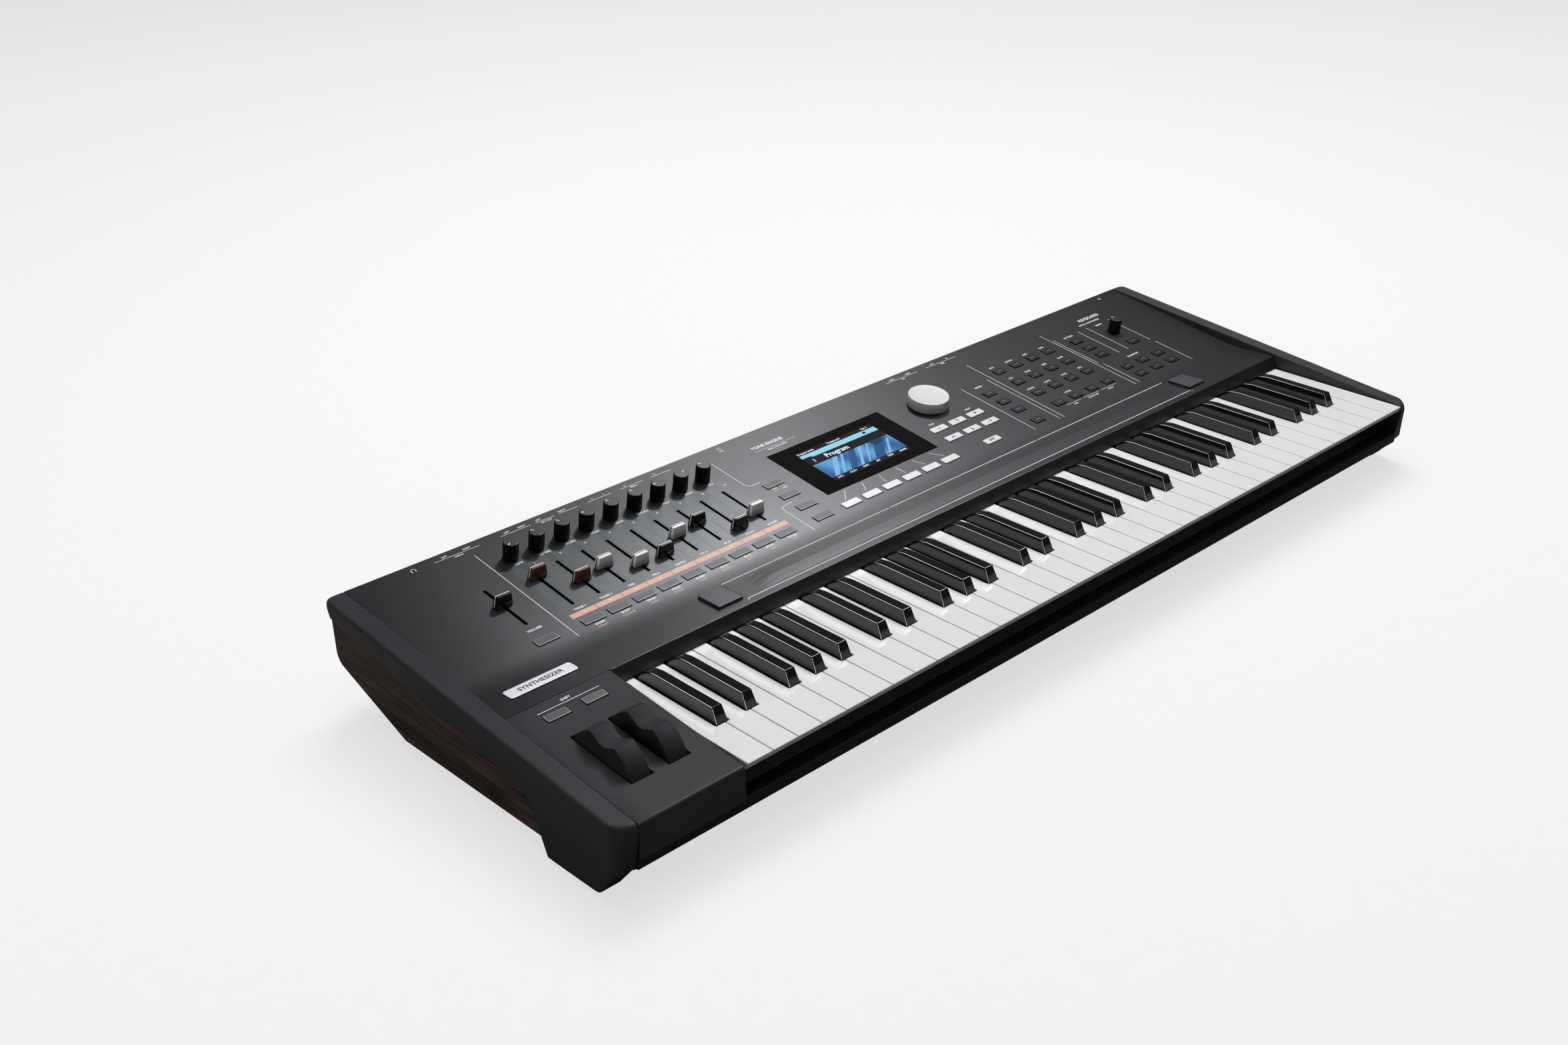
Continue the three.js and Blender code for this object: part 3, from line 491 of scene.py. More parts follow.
def dress(node, material, bevel=0.0, segments=2):
    """Gives a CAD node its finish and, where asked, softly rounded edges."""
    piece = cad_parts[node]
    piece.data.materials.clear()
    piece.data.materials.append(material)
    weld = piece.modifiers.new("weld", "WELD")
    weld.merge_threshold = 2e-5
    if bevel:
        flat = piece.modifiers.new("flat_faces", "DECIMATE")
        flat.decimate_type = "DISSOLVE"
        flat.angle_limit = math.radians(0.8)
        round_edges(piece, bevel, segments)
        piece.modifiers["rounded_edges"].use_clamp_overlap = False


# ---------------------------------------------------------------- keys

# How many white keys of the octave come before each black one, and how far it stands off their joint.
SHARPS = ((1, -2.2), (2, 2.2), (4, -3.0), (5, 0.0), (6, 3.0))
SHARP_WIDTH = 11.0
SHARP_FRONT = 50.0
KEY_END = 184.0
KEY_WEB = 9
NOTCH = SHARP_WIDTH / 2 + 1
LIP = 1.8


def sharp_centres(octave):
    """Where the middles of an octave's black keys stand."""
    return [(octave * 7 + after) * WHITE_PITCH + shift for after, shift in SHARPS]


def white_outline(octave, index):
    """Plan of one white key, cut away where its black neighbours stand."""
    left = (octave * 7 + index) * WHITE_PITCH + KEY_SIDE_GAP / 2
    right = left + WHITE_PITCH - KEY_SIDE_GAP
    waist_left, waist_right = left, right
    for centre in sharp_centres(octave):
        if abs(centre - left) < NOTCH:
            waist_left = centre + NOTCH
        if abs(centre - right) < NOTCH:
            waist_right = centre - NOTCH
    shoulder = SHARP_FRONT - 1
    points = [(left, KEY_FRONT), (right, KEY_FRONT)]
    if waist_right < right:
        points += [(right, shoulder), (waist_right, shoulder)]
    points += [(waist_right, KEY_END), (waist_left, KEY_END)]
    if waist_left > left:
        points += [(waist_left, shoulder), (left, shoulder)]
    return points


def white_keys(octave):
    """Tops with a thin overhanging lip, a set-back front below it, a skirt further in and a rear web."""
    name = f"white_keys_{octave + 1}"
    shape = Sculpt()
    count = 8 if octave == OCTAVES - 1 else 7
    for index in range(count):
        plan = white_outline(octave, index)
        shape.prism(plan, -LIP, 0)
        middle = sum(x for x, _ in plan) / len(plan)
        for inset, front, bottom, top in ((0.25, 1.3, -4.7, -LIP + 0.1), (1.2, 12, -14.8, -4.6)):
            body = [(x + inset * (1 if x < middle else -1), max(y, front)) for x, y in plan]
            shape.prism(body, bottom, top)
    web_left = octave * 7 * WHITE_PITCH + KEY_SIDE_GAP / 2
    web_right = (octave * 7 + count) * WHITE_PITCH - KEY_SIDE_GAP / 2
    shape.slab(rectangle(KEY_END - KEY_WEB, -14, KEY_END, -6), web_left, web_right)
    shape.finish(name + "_tops", [WHITE_KEY], name, "white_key", (name,), bevel=0.7, segments=3, smooth=True)


def black_key(shape, centre):
    """Straight sides with a little draft, a sloped nose, a flat top and a tail that falls under the panel."""
    half = SHARP_WIDTH / 2
    stations = (  # depth, bottom, top, draft of each side
        (SHARP_FRONT, -9.0, 0.4, 0.0),
        (SHARP_FRONT + 5, -9.0, 11.2, 1.05),
        (117.0, -9.0, 10.9, 1.05),
        (125.5, -9.0, 9.6, 1.0),
        (131.0, -9.0, 7.2, 0.8),
        (134.4, -9.0, 3.4, 0.6),
        (136.6, -9.0, -1.0, 0.5),
        (150.0, -4.6, -1.2, 0.5),
        (197.5, -4.3, -1.3, 0.5),
    )
    rings = []
    for y, floor, top, draft in stations:
        corners = ((-half, floor), (half, floor), (half - draft, top), (draft - half, top))
        rings.append([(centre + x, y, z) for x, z in corners])
    shape.loft(rings)


def black_keys(octave):
    """An octave's five black keys on their rear web."""
    name = f"black_keys_{octave + 1}"
    shape = Sculpt()
    centres = sharp_centres(octave)
    for centre in centres:
        black_key(shape, centre)
    half = SHARP_WIDTH / 2
    shape.slab(rectangle(187, -8, 197, -1.4), centres[0] - half, centres[-1] + half)
    shape.finish(name + "_tops", [BLACK_KEY], name, "black_key", (name,), bevel=0.85, segments=4, smooth=True)


# ---------------------------------------------------------------- controls

BUTTON_WEB = -6.6
BUTTON_LIFT = 1.15
SHAFT_SHOWN = 2.6
POINTER_TURNS = (123, 27, 36, 78, 27, 22, 85, -63, 28)


def touches(a, b):
    """Whether two boxes of (x0, y0, x1, y1) overlap."""
    return a[0] < b[2] and a[2] > b[0] and a[1] < b[3] and a[3] > b[1]


def button_tops(node, face):
    """The box round each button top of a bank, along the surface, and their height over it."""
    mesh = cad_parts[node].data
    back = face.plane.inverted()
    points = [back @ ((vertex.co - ORIGIN) / MM) for vertex in mesh.vertices]
    top = max(point.z for point in points)
    boxes = []
    for polygon in mesh.polygons:
        corners = [points[i] for i in polygon.vertices]
        if min(corner.z for corner in corners) < top - 0.05:
            continue
        xs = [corner.x for corner in corners]
        ys = [corner.y for corner in corners]
        box = [min(xs), min(ys), max(xs), max(ys)]
        known = next((other for other in boxes if touches(box, other)), None)
        if known:
            known[:] = [*map(min, box[:2], known[:2]), *map(max, box[2:], known[2:])]
        else:
            boxes.append(box)
    return sorted(boxes, key=lambda box: (round(box[1]), box[0])), top


def button_bank(node, face, slot, materials, choose=lambda x: 0):
    """Fine caps with round corners on the web that joins the bank underneath; grey ones get a painted
    highlight rim.
    """
    boxes, top = button_tops(node, face)
    shape = Sculpt()
    for x0, y0, x1, y1 in boxes:
        x, y = (x0 + x1) / 2, (y0 + y1) / 2
        place = face.plane @ Matrix.Translation((x, y, 0))
        kind = choose(x)
        # Grey buttons get a lighter rim on their top edge: a painted highlight.
        has_painted_rim = materials[kind] is GREY_BUTTON
        rim = materials.index(BUTTON_RIM_HIGHLIGHT) if has_painted_rim else None
        edge = 0.42 if has_painted_rim else 0.3
        shape.pillow(x1 - x0, y1 - y0, 0.6, BUTTON_WEB + 0.8, top - 0.1, place, kind, edge, rim)
    left, front = min(box[0] for box in boxes) + 2, min(box[1] for box in boxes) + 2
    right, rear = max(box[2] for box in boxes) - 2, max(box[3] for box in boxes) - 2
    shape.prism(rectangle(left, front, right, rear), BUTTON_WEB, BUTTON_WEB + 1, face.plane)
    shape.finish(node + "_caps", materials, node, slot, (node,))


def all_buttons():
    """Every bank; the display's holds grey buttons at the left and white ones further right."""
    # Grey banks carry a lighter rim material on their top edges as a painted highlight.
    grey_with_painted_rim = [GREY_BUTTON, BUTTON_RIM_HIGHLIGHT]
    white_from = 290
    button_bank("effect_buttons", panel, "grey_button", grey_with_painted_rim)
    button_bank(
        "display_buttons", panel, "white_button", [GREY_BUTTON, WHITE_BUTTON, BUTTON_RIM_HIGHLIGHT],
        lambda x: 0 if x < white_from else 1,
    )
    button_bank("category_buttons", panel, "grey_button", [DARK_BUTTON])
    button_bank("transport_buttons", panel, "grey_button", [DARK_BUTTON])
    button_bank("transpose_buttons", block, "grey_button", grey_with_painted_rim)
    button_marks()


def stand(node, reach):
    """Where a control stands on the panel: this far up the slope from its middle to its rear edge."""
    high = millimetres(node)[1]
    return panel.at(centre_of(node).x, high.y - reach * math.cos(PANEL_ANGLE))


def knob(node, turn):
    """A tall knob with soft flutes, a crisp flat top and an inlaid pointer turned to its setting."""
    radius, height, flute_count = 6.5, 15.4, 24
    place = stand(node, radius)
    shape = Sculpt()
    sides = ((-0.5, 0.6), (0, 1.0), (0, 1.3), (-0.1, height * 0.6), (-0.15, height - 0.9))
    rim = ((-0.35, height - 0.35), (-0.65, height - 0.12), (-0.95, height - 0.1))
    profile = [(radius + out, z) for out, z in sides + rim]
    shape.lathe(profile, place, flute_count * 4, 0, flute_count, 0.16)
    # The flat top disc takes the lighter top material, its lighter tone partly painted sheen.
    shape.lathe([(radius - 1.0, height - 0.5), (radius - 1.0, height - 0.06)], place, 48, 2)
    shape.lathe([(3, -SHAFT_SHOWN), (3, 0.8)], place, 20)
    pointer = place @ Matrix.Rotation(math.radians(turn), 4, "Z") @ Matrix.Translation((0, 3.9, 0))
    shape.pillow(0.8, 3.1, 0.3, height - 0.5, height, pointer, 1, edge=0.04)
    shape.finish(node + "_cap", [KNOB, WHITE_INK, KNOB_TOP_SHEEN], node, "knob", (node,))


def knobs():
    """The nine knobs and the tempo knob, each with its pointer at its own setting."""
    for i, turn in enumerate(POINTER_TURNS):
        knob(f"knob_{i + 1}", turn)
    knob("tempo_knob", 20)


def slider_half(shape, place, low_y, high_y, top, rounding):
    """One half of a slider's cap, tapering up from one span of depths to another, its top edge rounded."""
    bottom, low_width, high_width = 0.9, 15.0, 12.4
    rings = []
    soft, tight = 0.45, 0.3
    steps = ((0, 0, soft), (0.5, 0, soft), (0.9, 0, soft), (0.97, 0.18, soft), (1, rounding, tight))
    for t, inset, corner in steps:
        width = low_width + (high_width - low_width) * t - 2 * inset
        front = low_y[0] + (high_y[0] - low_y[0]) * t + inset
        rear = low_y[1] + (high_y[1] - low_y[1]) * t - inset
        plan = rounded_rectangle(width, rear - front, corner)
        rings.append([(x, y + (front + rear) / 2, bottom + (top - bottom) * t) for x, y in plan])
    shape.loft(rings, place)


def slider_cap(node, material, line_material, slot):
    """A tapered cap split by an inlaid line across its top and down both sides, on a thin stem."""
    place = stand(node, 3.3)
    shape = Sculpt()
    slider_half(shape, place, (-3.3, 0.55), (-2.3, 0.55), 10.9, 0.5)
    slider_half(shape, place, (1.35, 3.3), (1.15, 2.3), 10.7, 0.35)
    shape.prism(rectangle(-7.2, 0.5, 7.2, 1.4), 0.95, 1.4, place, 1)
    ends = ((7.4, 1.0), (6.2, 10.4))
    line = [[(x, y, z) for x, y in rectangle(-half, 0.45, half, 1.4)] for half, z in ends]
    shape.loft(line, place, 1, smooth=False)
    shape.prism(rectangle(-0.9, -2.2, 0.9, 2.2), -11, 1.2, place, 2)
    shape.finish(node + "_cap", [material, line_material, STEEL], node, slot, (node,))


def sliders():
    """The volume slider and the nine others, in three colours."""
    looks = {
        "red": (CAP_RED, WHITE_INK, "cap_red"),
        "grey": (CAP_GREY, BLACK_INK, "cap_grey"),
        "black": (CAP_BLACK, WHITE_INK, "cap_black"),
    }
    order = ("red", "red", "grey", "grey", "black", "grey", "black", "black", "grey")
    slider_cap("volume_fader", *looks["black"])
    for i, look in enumerate(order):
        slider_cap(f"fader_{i + 1}", *looks[look])


def data_wheel():
    """The big dial: a gently dished top inside a crisp rim."""
    radius, height, rounding, dish = 19.5, 11.0, 0.8, 0.34
    place = stand("data_wheel", radius)
    shape = Sculpt()
    profile = [(radius - 0.5, 0.8), (radius, 1.2), (radius - 0.15, height - rounding)]
    for turn in (0.3, 0.6, 0.9, 1.2, 1.5):
        inset = 0.15 + rounding * (1 - math.cos(turn))
        profile.append((radius - inset, height - rounding + rounding * math.sin(turn)))
    brim = height - 0.16
    profile += [(radius - 1.6, height - 0.04), (radius - 2.6, brim)]
    profile += [(radius * share, brim - dish * (1 - share ** 2)) for share in (0.75, 0.5, 0.25, 0.06)]
    shape.lathe(profile, place, 96)
    shape.lathe([(3, -SHAFT_SHOWN), (3, 1)], place, 20)
    shape.finish("data_wheel_dial", [DIAL], "data_wheel", "white_button", ("data_wheel",))


WHEEL_CENTRE_Y = 66.8


def thumb_wheel(node):
    """Rubber wheel: two crests with a thumb valley, its corners softly rounded."""
    radius, drop, crest, width, steps = 33.9, 14.8, 12.8, 16.8, 60
    place = block.at(centre_of(node).x, WHEEL_CENTRE_Y, -drop)
    crest_angle = math.asin(crest / radius)
    crest_height = radius * math.cos(crest_angle)
    outline = []
    for i in range(steps + 1):
        turn = crest_angle + i / steps * (2 * math.pi - 2 * crest_angle)
        outline.append((radius * math.sin(turn), radius * math.cos(turn)))
    falls = ((8.2, -2.1), (4.2, -4.4), (2.2, -5.0))
    valley = [(-y, fall) for y, fall in falls] + [(0, -5.15)] + list(reversed(falls))
    outline += [(y, crest_height + fall) for y, fall in valley]
    edge = [(-width / 2 + depth, inset) for depth, inset in ((0, 0.9), (0.3, 0.3), (0.9, 0.0))]
    rings = []
    for offset, inset in edge + [(-offset, inset) for offset, inset in reversed(edge)]:
        scale = 1 - inset / radius
        rings.append([(offset, y * scale, z * scale) for y, z in outline])
    shape = Sculpt()
    shape.loft(rings, place)
    axle = place @ Matrix.Rotation(math.radians(90), 4, "Y")
    shape.lathe([(3, -width / 2 - 4.3), (3, width / 2 + 4.3)], axle, 20)
    piece = shape.finish(node + "_rubber", [RUBBER], node, "rubber", (node,))
    split = piece.modifiers.new("crisp", "EDGE_SPLIT")
    split.split_angle = math.radians(28)


PAD_WIDE = 24.5
PAD_NARROW = 22.5
PAD_DEPTH = 26
PAD_CENTRE_Y = 165.5


def end_pads():
    """The two raised pads beside the ribbon, a little narrower at the rear, joined by a hidden bar."""
    low, high = millimetres("end_pads")
    shape = Sculpt()
    wide, narrow, reach = PAD_WIDE / 2, PAD_NARROW / 2, PAD_DEPTH / 2
    for x in (low.x + wide, high.x - wide):
        rings = []
        for height, inset in ((-5.5, 0), (1.9, 0.0), (2.25, 0.12), (2.45, 0.4), (2.5, 0.8)):
            rings.append([
                (-wide + inset, -reach + inset, height), (wide - inset, -reach + inset, height),
                (narrow - inset, reach - inset, height), (-narrow + inset, reach - inset, height),
            ])
        shape.loft(rings, strip.at(x, PAD_CENTRE_Y), smooth=False)
    shape.prism(rectangle(low.x + 12, -4, high.x - 12, 4), -6.6, -5.2, strip.at(0, PAD_CENTRE_Y))
    shape.finish("end_pad_caps", [PAD_RUBBER], "end_pads", "rubber", ("end_pads",), bevel=0.3)


# ---------------------------------------------------------------- print

CHANNELS = 9
CHANNEL_PITCH = 24.9
FIRST_CHANNEL = 33
RIBBON = (138.4, 714.6, 150, 183)
WHITE, GREY, ORANGE = range(3)


class Print:
    """Screen-printed lines and generic words, laid as a very thin film on a surface."""

    film = 0.07

    def __init__(self):
        self.shape = Sculpt()

    def bar(self, x0, y0, x1, y1, width=0.5, material=WHITE, lift=0.0, face=panel):
        """A straight line."""
        start, end = Vector((x0, y0)), Vector((x1, y1))
        along = (end - start).normalized()
        side = Vector((-along.y, along.x)) * width / 2
        outline = [(c.x, face.up(c.y)) for c in (start - side, end - side, end + side, start + side)]
        self.shape.prism(outline, 0.01 + lift, self.film + lift, face.plane, material)

    def path(self, points, width=0.5):
        """A line through several points."""
        for (x0, y0), (x1, y1) in zip(points, points[1:]):
            self.bar(x0, y0, x1, y1, width)

    def arc(self, x, y, radius, start=0, sweep=360):
        """A ring, or the part of one that a sweep in degrees covers."""
        turns = [math.radians(start + sweep * i / 12) for i in range(13)]
        self.path([(x + radius * math.cos(turn), y + radius * math.sin(turn)) for turn in turns], 0.4)

    def patch(self, x0, y0, x1, y1, material):
        """A filled field."""
        outline = rectangle(x0, panel.up(y0), x1, panel.up(y1))
        self.shape.prism(outline, 0.01, self.film, panel.plane, material)

    def word(self, text, x, y, size, material=WHITE, align="CENTER", lift=0.0, face=panel):
        """A word in the plain built-in face."""
        if not text:
            return
        curve = bpy.data.curves.new("word", "FONT")
        curve.body = text
        curve.size = size
        curve.align_x = align
        curve.align_y = "CENTER"
        curve.resolution_u = 2
        curve.extrude = self.film / 2
        curve.offset = 0.022 * size
        holder = bpy.data.objects.new("word", curve)
        bpy.context.scene.collection.objects.link(holder)
        graph = bpy.context.evaluated_depsgraph_get()
        mesh = bpy.data.meshes.new_from_object(holder.evaluated_get(graph))
        mesh.transform(face.at(x, y, self.film / 2 + lift))
        start = len(self.shape.bm.faces)
        self.shape.bm.from_mesh(mesh)
        self.shape.bm.faces.ensure_lookup_table()
        for printed in self.shape.bm.faces[start:]:
            printed.material_index = material
        bpy.data.objects.remove(holder)
        bpy.data.curves.remove(curve)
        bpy.data.meshes.remove(mesh)

    def finish(self, name, materials, slot, body="root"):
        """Joins the film's touching points and makes the piece."""
        bmesh.ops.remove_doubles(self.shape.bm, verts=self.shape.bm.verts, dist=0.001)
        self.shape.finish(name, materials, body, slot)


def fader_print(sheet):
    """Words, numbers, the orange band and separators round the nine knobs, sliders and effect buttons."""
    below_knobs = ("LOW", "LO MID", "HI MID", "HIGH", "RATE", "WIDTH", "PAN", "SEND", "MIX")
    above_band = ("TONE 1", "TONE 2", "RISE", "FALL", "DEPTH", "FX A", "FX B", "ECHO", "ROOM")
    below_buttons = ("SHAPE", "BODY", "DRIVE", "HOLD", "SWEEP", "FX A", "FX B", "ECHO", "ROOM")
    second = ("OFFSET", "COLOUR", "GAIN", "BLEND", "SYNC", "SPREAD", "SPIN", "TAPS", "SIZE")
    for i in range(CHANNELS):
        x = FIRST_CHANNEL + CHANNEL_PITCH * i
        sheet.word(below_knobs[i], x, 298.2, 3.3)
        sheet.word(str(i + 1), x + 9.2, 291, 3.1)
        sheet.word(above_band[i], x + 1.5, 224.4, 3.3)
        sheet.word(str(i + 1), x + 1.2, 218.4, 2.8, lift=0.05)
        sheet.word(below_buttons[i], x + 1.5, 200.6, 3.2)
        sheet.word(second[i], x + 1.5, 196.4, 2.9, ORANGE)
        left = x - CHANNEL_PITCH / 2
        sheet.patch(left + 0.3, 215.6, left + CHANNEL_PITCH - 0.3, 221.2, ORANGE)
        if i:
            sheet.bar(left, 224.5, left, 300, 0.3, GREY)
    sheet.bar(11.4, 196.6, 11.4, 327.5)
    sheet.word("VOLUME", -9.5, 222.8, 3.4)


def display_print(sheet):
    """Brackets round the layer buttons, leader lines to the soft buttons and words by the cursor buttons."""
    sheet.path(((254.6, 323.1), (254.6, 281.6), (256, 278.4), (259, 276.6), (268, 276.3)))
    sheet.path(((268.8, 238.3), (260, 237.6), (256.2, 236), (254.9, 233), (254.9, 196.4)))
    for i in range(6):
        sheet.bar(309.3 + CHANNEL_PITCH * i, 214.4, 319 + 21.1 * i, 225.2, 0.4)
    sheet.word("PLAY", 272, 262, 2.6)
    sheet.word("PLAY", 272, 258.6, 2.4, ORANGE)
    sheet.word("PART", 281, 262, 2.6, ORANGE)
    sheet.word("PART", 281, 258.6, 2.4)
    sheet.word("TONE ENGINE", 318, 320.6, 5.6)
    sheet.bar(299, 315.4, 347, 315.4, 0.35)
    sheet.word("digital sound section", 323, 312.6, 2.8)
    sheet.word("PAGE", 466, 258.8, 2.8)
    sheet.word("NEXT", 515.7, 258.8, 2.8)


def section_print(sheet):
    """Words and dividing lines of the mode, sound type, pattern and transport sections."""
    sheet.word("MODE", 556.5, 281.2, 3.4)
    types = (
        ("KEYS", "ORGAN", "BASS", "LEAD"),
        ("PAD", "BRASS", "REED", "WIND"),
        ("STRING", "PLUCK", "VOICE", "BELL"),
    )
    for line, words in enumerate(types):
        for column, word in enumerate(words):
            sheet.word(word, 597.4 + 25 * column, 299.8 - 24.6 * line, 2.9)
    sheet.word("OTHER", 623, 226, 2.9)
    for x0, x1, word in ((600.8, 621.9, "FIND"), (626.5, 649.4, "SOUND / SET"), (652.8, 675.5, "STORE")):
        sheet.bar(x0, 209.2, x1, 209.2, 0.35)
        sheet.word(word, (x0 + x1) / 2, 206.2, 2.6)
    dividers = (
        (539.5, 196.7, 288.5), (575, 197, 287), (581, 196.5, 317.7), (692, 196.5, 317.7),
        (695.5, 245.8, 302.8), (699, 197.3, 242.3), (732.8, 248, 301.3), (747.2, 247.7, 302.2),
        (783.3, 247.6, 301.5), (784.5, 196.4, 241.8),
    )
    for x, front, rear in dividers:
        sheet.bar(x, front, x, rear)
    sheet.word("PATTERN", 715, 299, 3.2)
    sheet.word("TEMPO", 764.5, 298.9, 3.2)
    sheet.word("TRANSPORT", 740.6, 237, 3.2)
    sheet.word("KEYBOARD", 768, 315.2, 6.2)
    sheet.word("DIGITAL SYNTHESIZER", 760, 308, 3.2)


def socket_legends(sheet):
    """Lines, words and signs along the rear edge that name the sockets behind them."""
    line_y = 336.6
    legends = (
        (-19.1, 22.7, "LEFT", "RIGHT", "LINE IN"),
        (43.3, 72.7, "LEFT", "RIGHT", ""),
        (77.1, 96, "LEFT", "", "DRY OUT"),
        (101, 120.1, "RIGHT", "", ""),
        (131, 155, "2", "1", ""),
        (165.7, 189.4, "B", "", "PEDAL"),
        (198.2, 220.2, "A", "", ""),
        (486.7, 530.6, "HOST", "DRIVE", "USB"),
        (543.4, 585.8, "OUT", "IN", "MIDI"),
    )
    for x0, x1, first, second, below in legends:
        quarter = (x1 - x0) / 4
        sheet.bar(x0, line_y, x1, line_y, 0.4)
        sheet.word(first, x0 + quarter, line_y + 2.4, 2.5)
        sheet.word(second, x1 - quarter, line_y + 2.4, 2.5)
        sheet.word(below, (x0 + x1) / 2, line_y - 2.5, 2.5)
    phones_sign(sheet, -38.1, 337.3, 2.0)
    power_sign(sheet, 814.6, 337.2, 1.7)
    sheet.arc(276.3, 338, 1.7)
    sheet.word("AUX", 276.3, 333.8, 2.3)


def phones_sign(sheet, x, y, radius):
    """The usual sign for a headphone socket: a band over two ear pads."""
    sheet.arc(x, y, radius, -20, 220)
    for side in (-1, 1):
        pad_x = x + side * radius * 0.86
        sheet.bar(pad_x, y - radius * 0.95, pad_x, y - radius * 0.1, 0.9)


def power_sign(sheet, x, y, radius):
    """The usual sign for a power switch: an open ring with a bar in its gap."""
    sheet.arc(x, y, radius, 125, 290)
    sheet.bar(x, y + radius * 0.2, x, y + radius * 1.25, 0.4)


def ribbon_lines(sheet):
    """The two bright lines of the ribbon, the rear one broken at its thirds, with small position marks."""
    left, right, pad_front, pad_rear = RIBBON
    front, rear = pad_front + 0.4, pad_rear - 0.6
    breaks = (329.3, 523.6)
    for start, end in zip((left, *breaks), (*breaks, right)):
        sheet.bar(start + 0.8, rear, end - 0.8, rear, 0.8, face=strip)
    sheet.bar(left, front, right, front, 0.8, face=strip)
    sheet.bar(left, rear, left - 4, rear + 4.2, 0.35, face=strip)
    sheet.bar(left, front, left - 1, front - 3, 0.35, face=strip)
    sheet.bar(right, front, right + 2, front - 3, 0.35, face=strip)
    for x in (426.3, 619.9):
        for lean in (-1, 1):
            sheet.bar(x, rear + 2.2, x + 1.1 * lean, rear + 3.8, 0.35, face=strip)
    for x in breaks:
        sheet.bar(x, rear + 1, x, rear + 2.8, 0.4, face=strip)


def panel_print():
    """All the print on the panel, the wheel block and the strip, as one film."""
    sheet = Print()
    fader_print(sheet)
    display_print(sheet)
    section_print(sheet)
    socket_legends(sheet)
    sheet.bar(-74.1, 133, -20.4, 133, face=block)
    sheet.word("SHIFT", -47.5, 136.4, 3.4, face=block)
    ribbon_lines(sheet)
    sheet.finish("panel_print", [WHITE_INK, GREY_INK, ORANGE_INK], "white_button")


def button_marks():
    """Dark glyphs on the white cursor buttons, dim windows on the dark ones."""
    sheet = Print()
    for x, y, word, size in ((465, 249, "-", 6.5), (514.8, 249, "+", 6.5), (490.5, 207.2, "EXIT", 3.6)):
        sheet.word(word, x, y + 0.2, size, lift=BUTTON_LIFT)
    for x, y, degrees in ((465, 231, 90), (489.9, 249, 0), (489.9, 231, 180), (514.8, 231, -90)):
        arrow(sheet, x, y, math.radians(degrees))
    sheet.finish("cursor_glyphs", [BLACK_INK], "white_button", body="display_buttons")
    for node in ("category_buttons", "transport_buttons"):
        marks = Print()
        for x0, y0, x1, y1 in button_tops(node, panel)[0]:
            x = (x0 + x1) / 2
            y = panel.depth((y0 + y1) / 2)
            for offset in (-2.2, 0, 2.2):
                marks.bar(x + offset - 0.7, y, x + offset + 0.7, y, 1.5, lift=BUTTON_LIFT)
        marks.finish(node + "_marks", [GREY_INK], "white_button", body=node)


def arrow(sheet, x, y, turn):
    """A small arrow on a cursor button, pointing to the rear before it is turned."""
    turned = Matrix.Rotation(turn, 2)
    tail, tip, left, right = [
        Vector((x, y)) + turned @ Vector(point) for point in ((0, -2.2), (0, 2.2), (-1.5, 0.7), (1.5, 0.7))
    ]
    for start, end in ((tail, tip), (tip, left), (tip, right)):
        sheet.bar(*start, *end, 0.55, lift=BUTTON_LIFT)


# ---------------------------------------------------------------- display and plate


def display():
    """The glass pane with its lit picture and words."""
    low, high = millimetres("display_glass")
    middle = centre_of("display_glass")
    place = panel.at(middle.x, middle.y)
    shape = Sculpt()
    depth = panel.up(high.y) - panel.up(low.y)
    shape.pillow(high.x - low.x, depth - 0.3, 1.2, -1.3, 0.35, place, edge=0.25)
    shape.finish("display_pane", [GLASS], "root", "glass", ("display_glass",))
    picture(place)


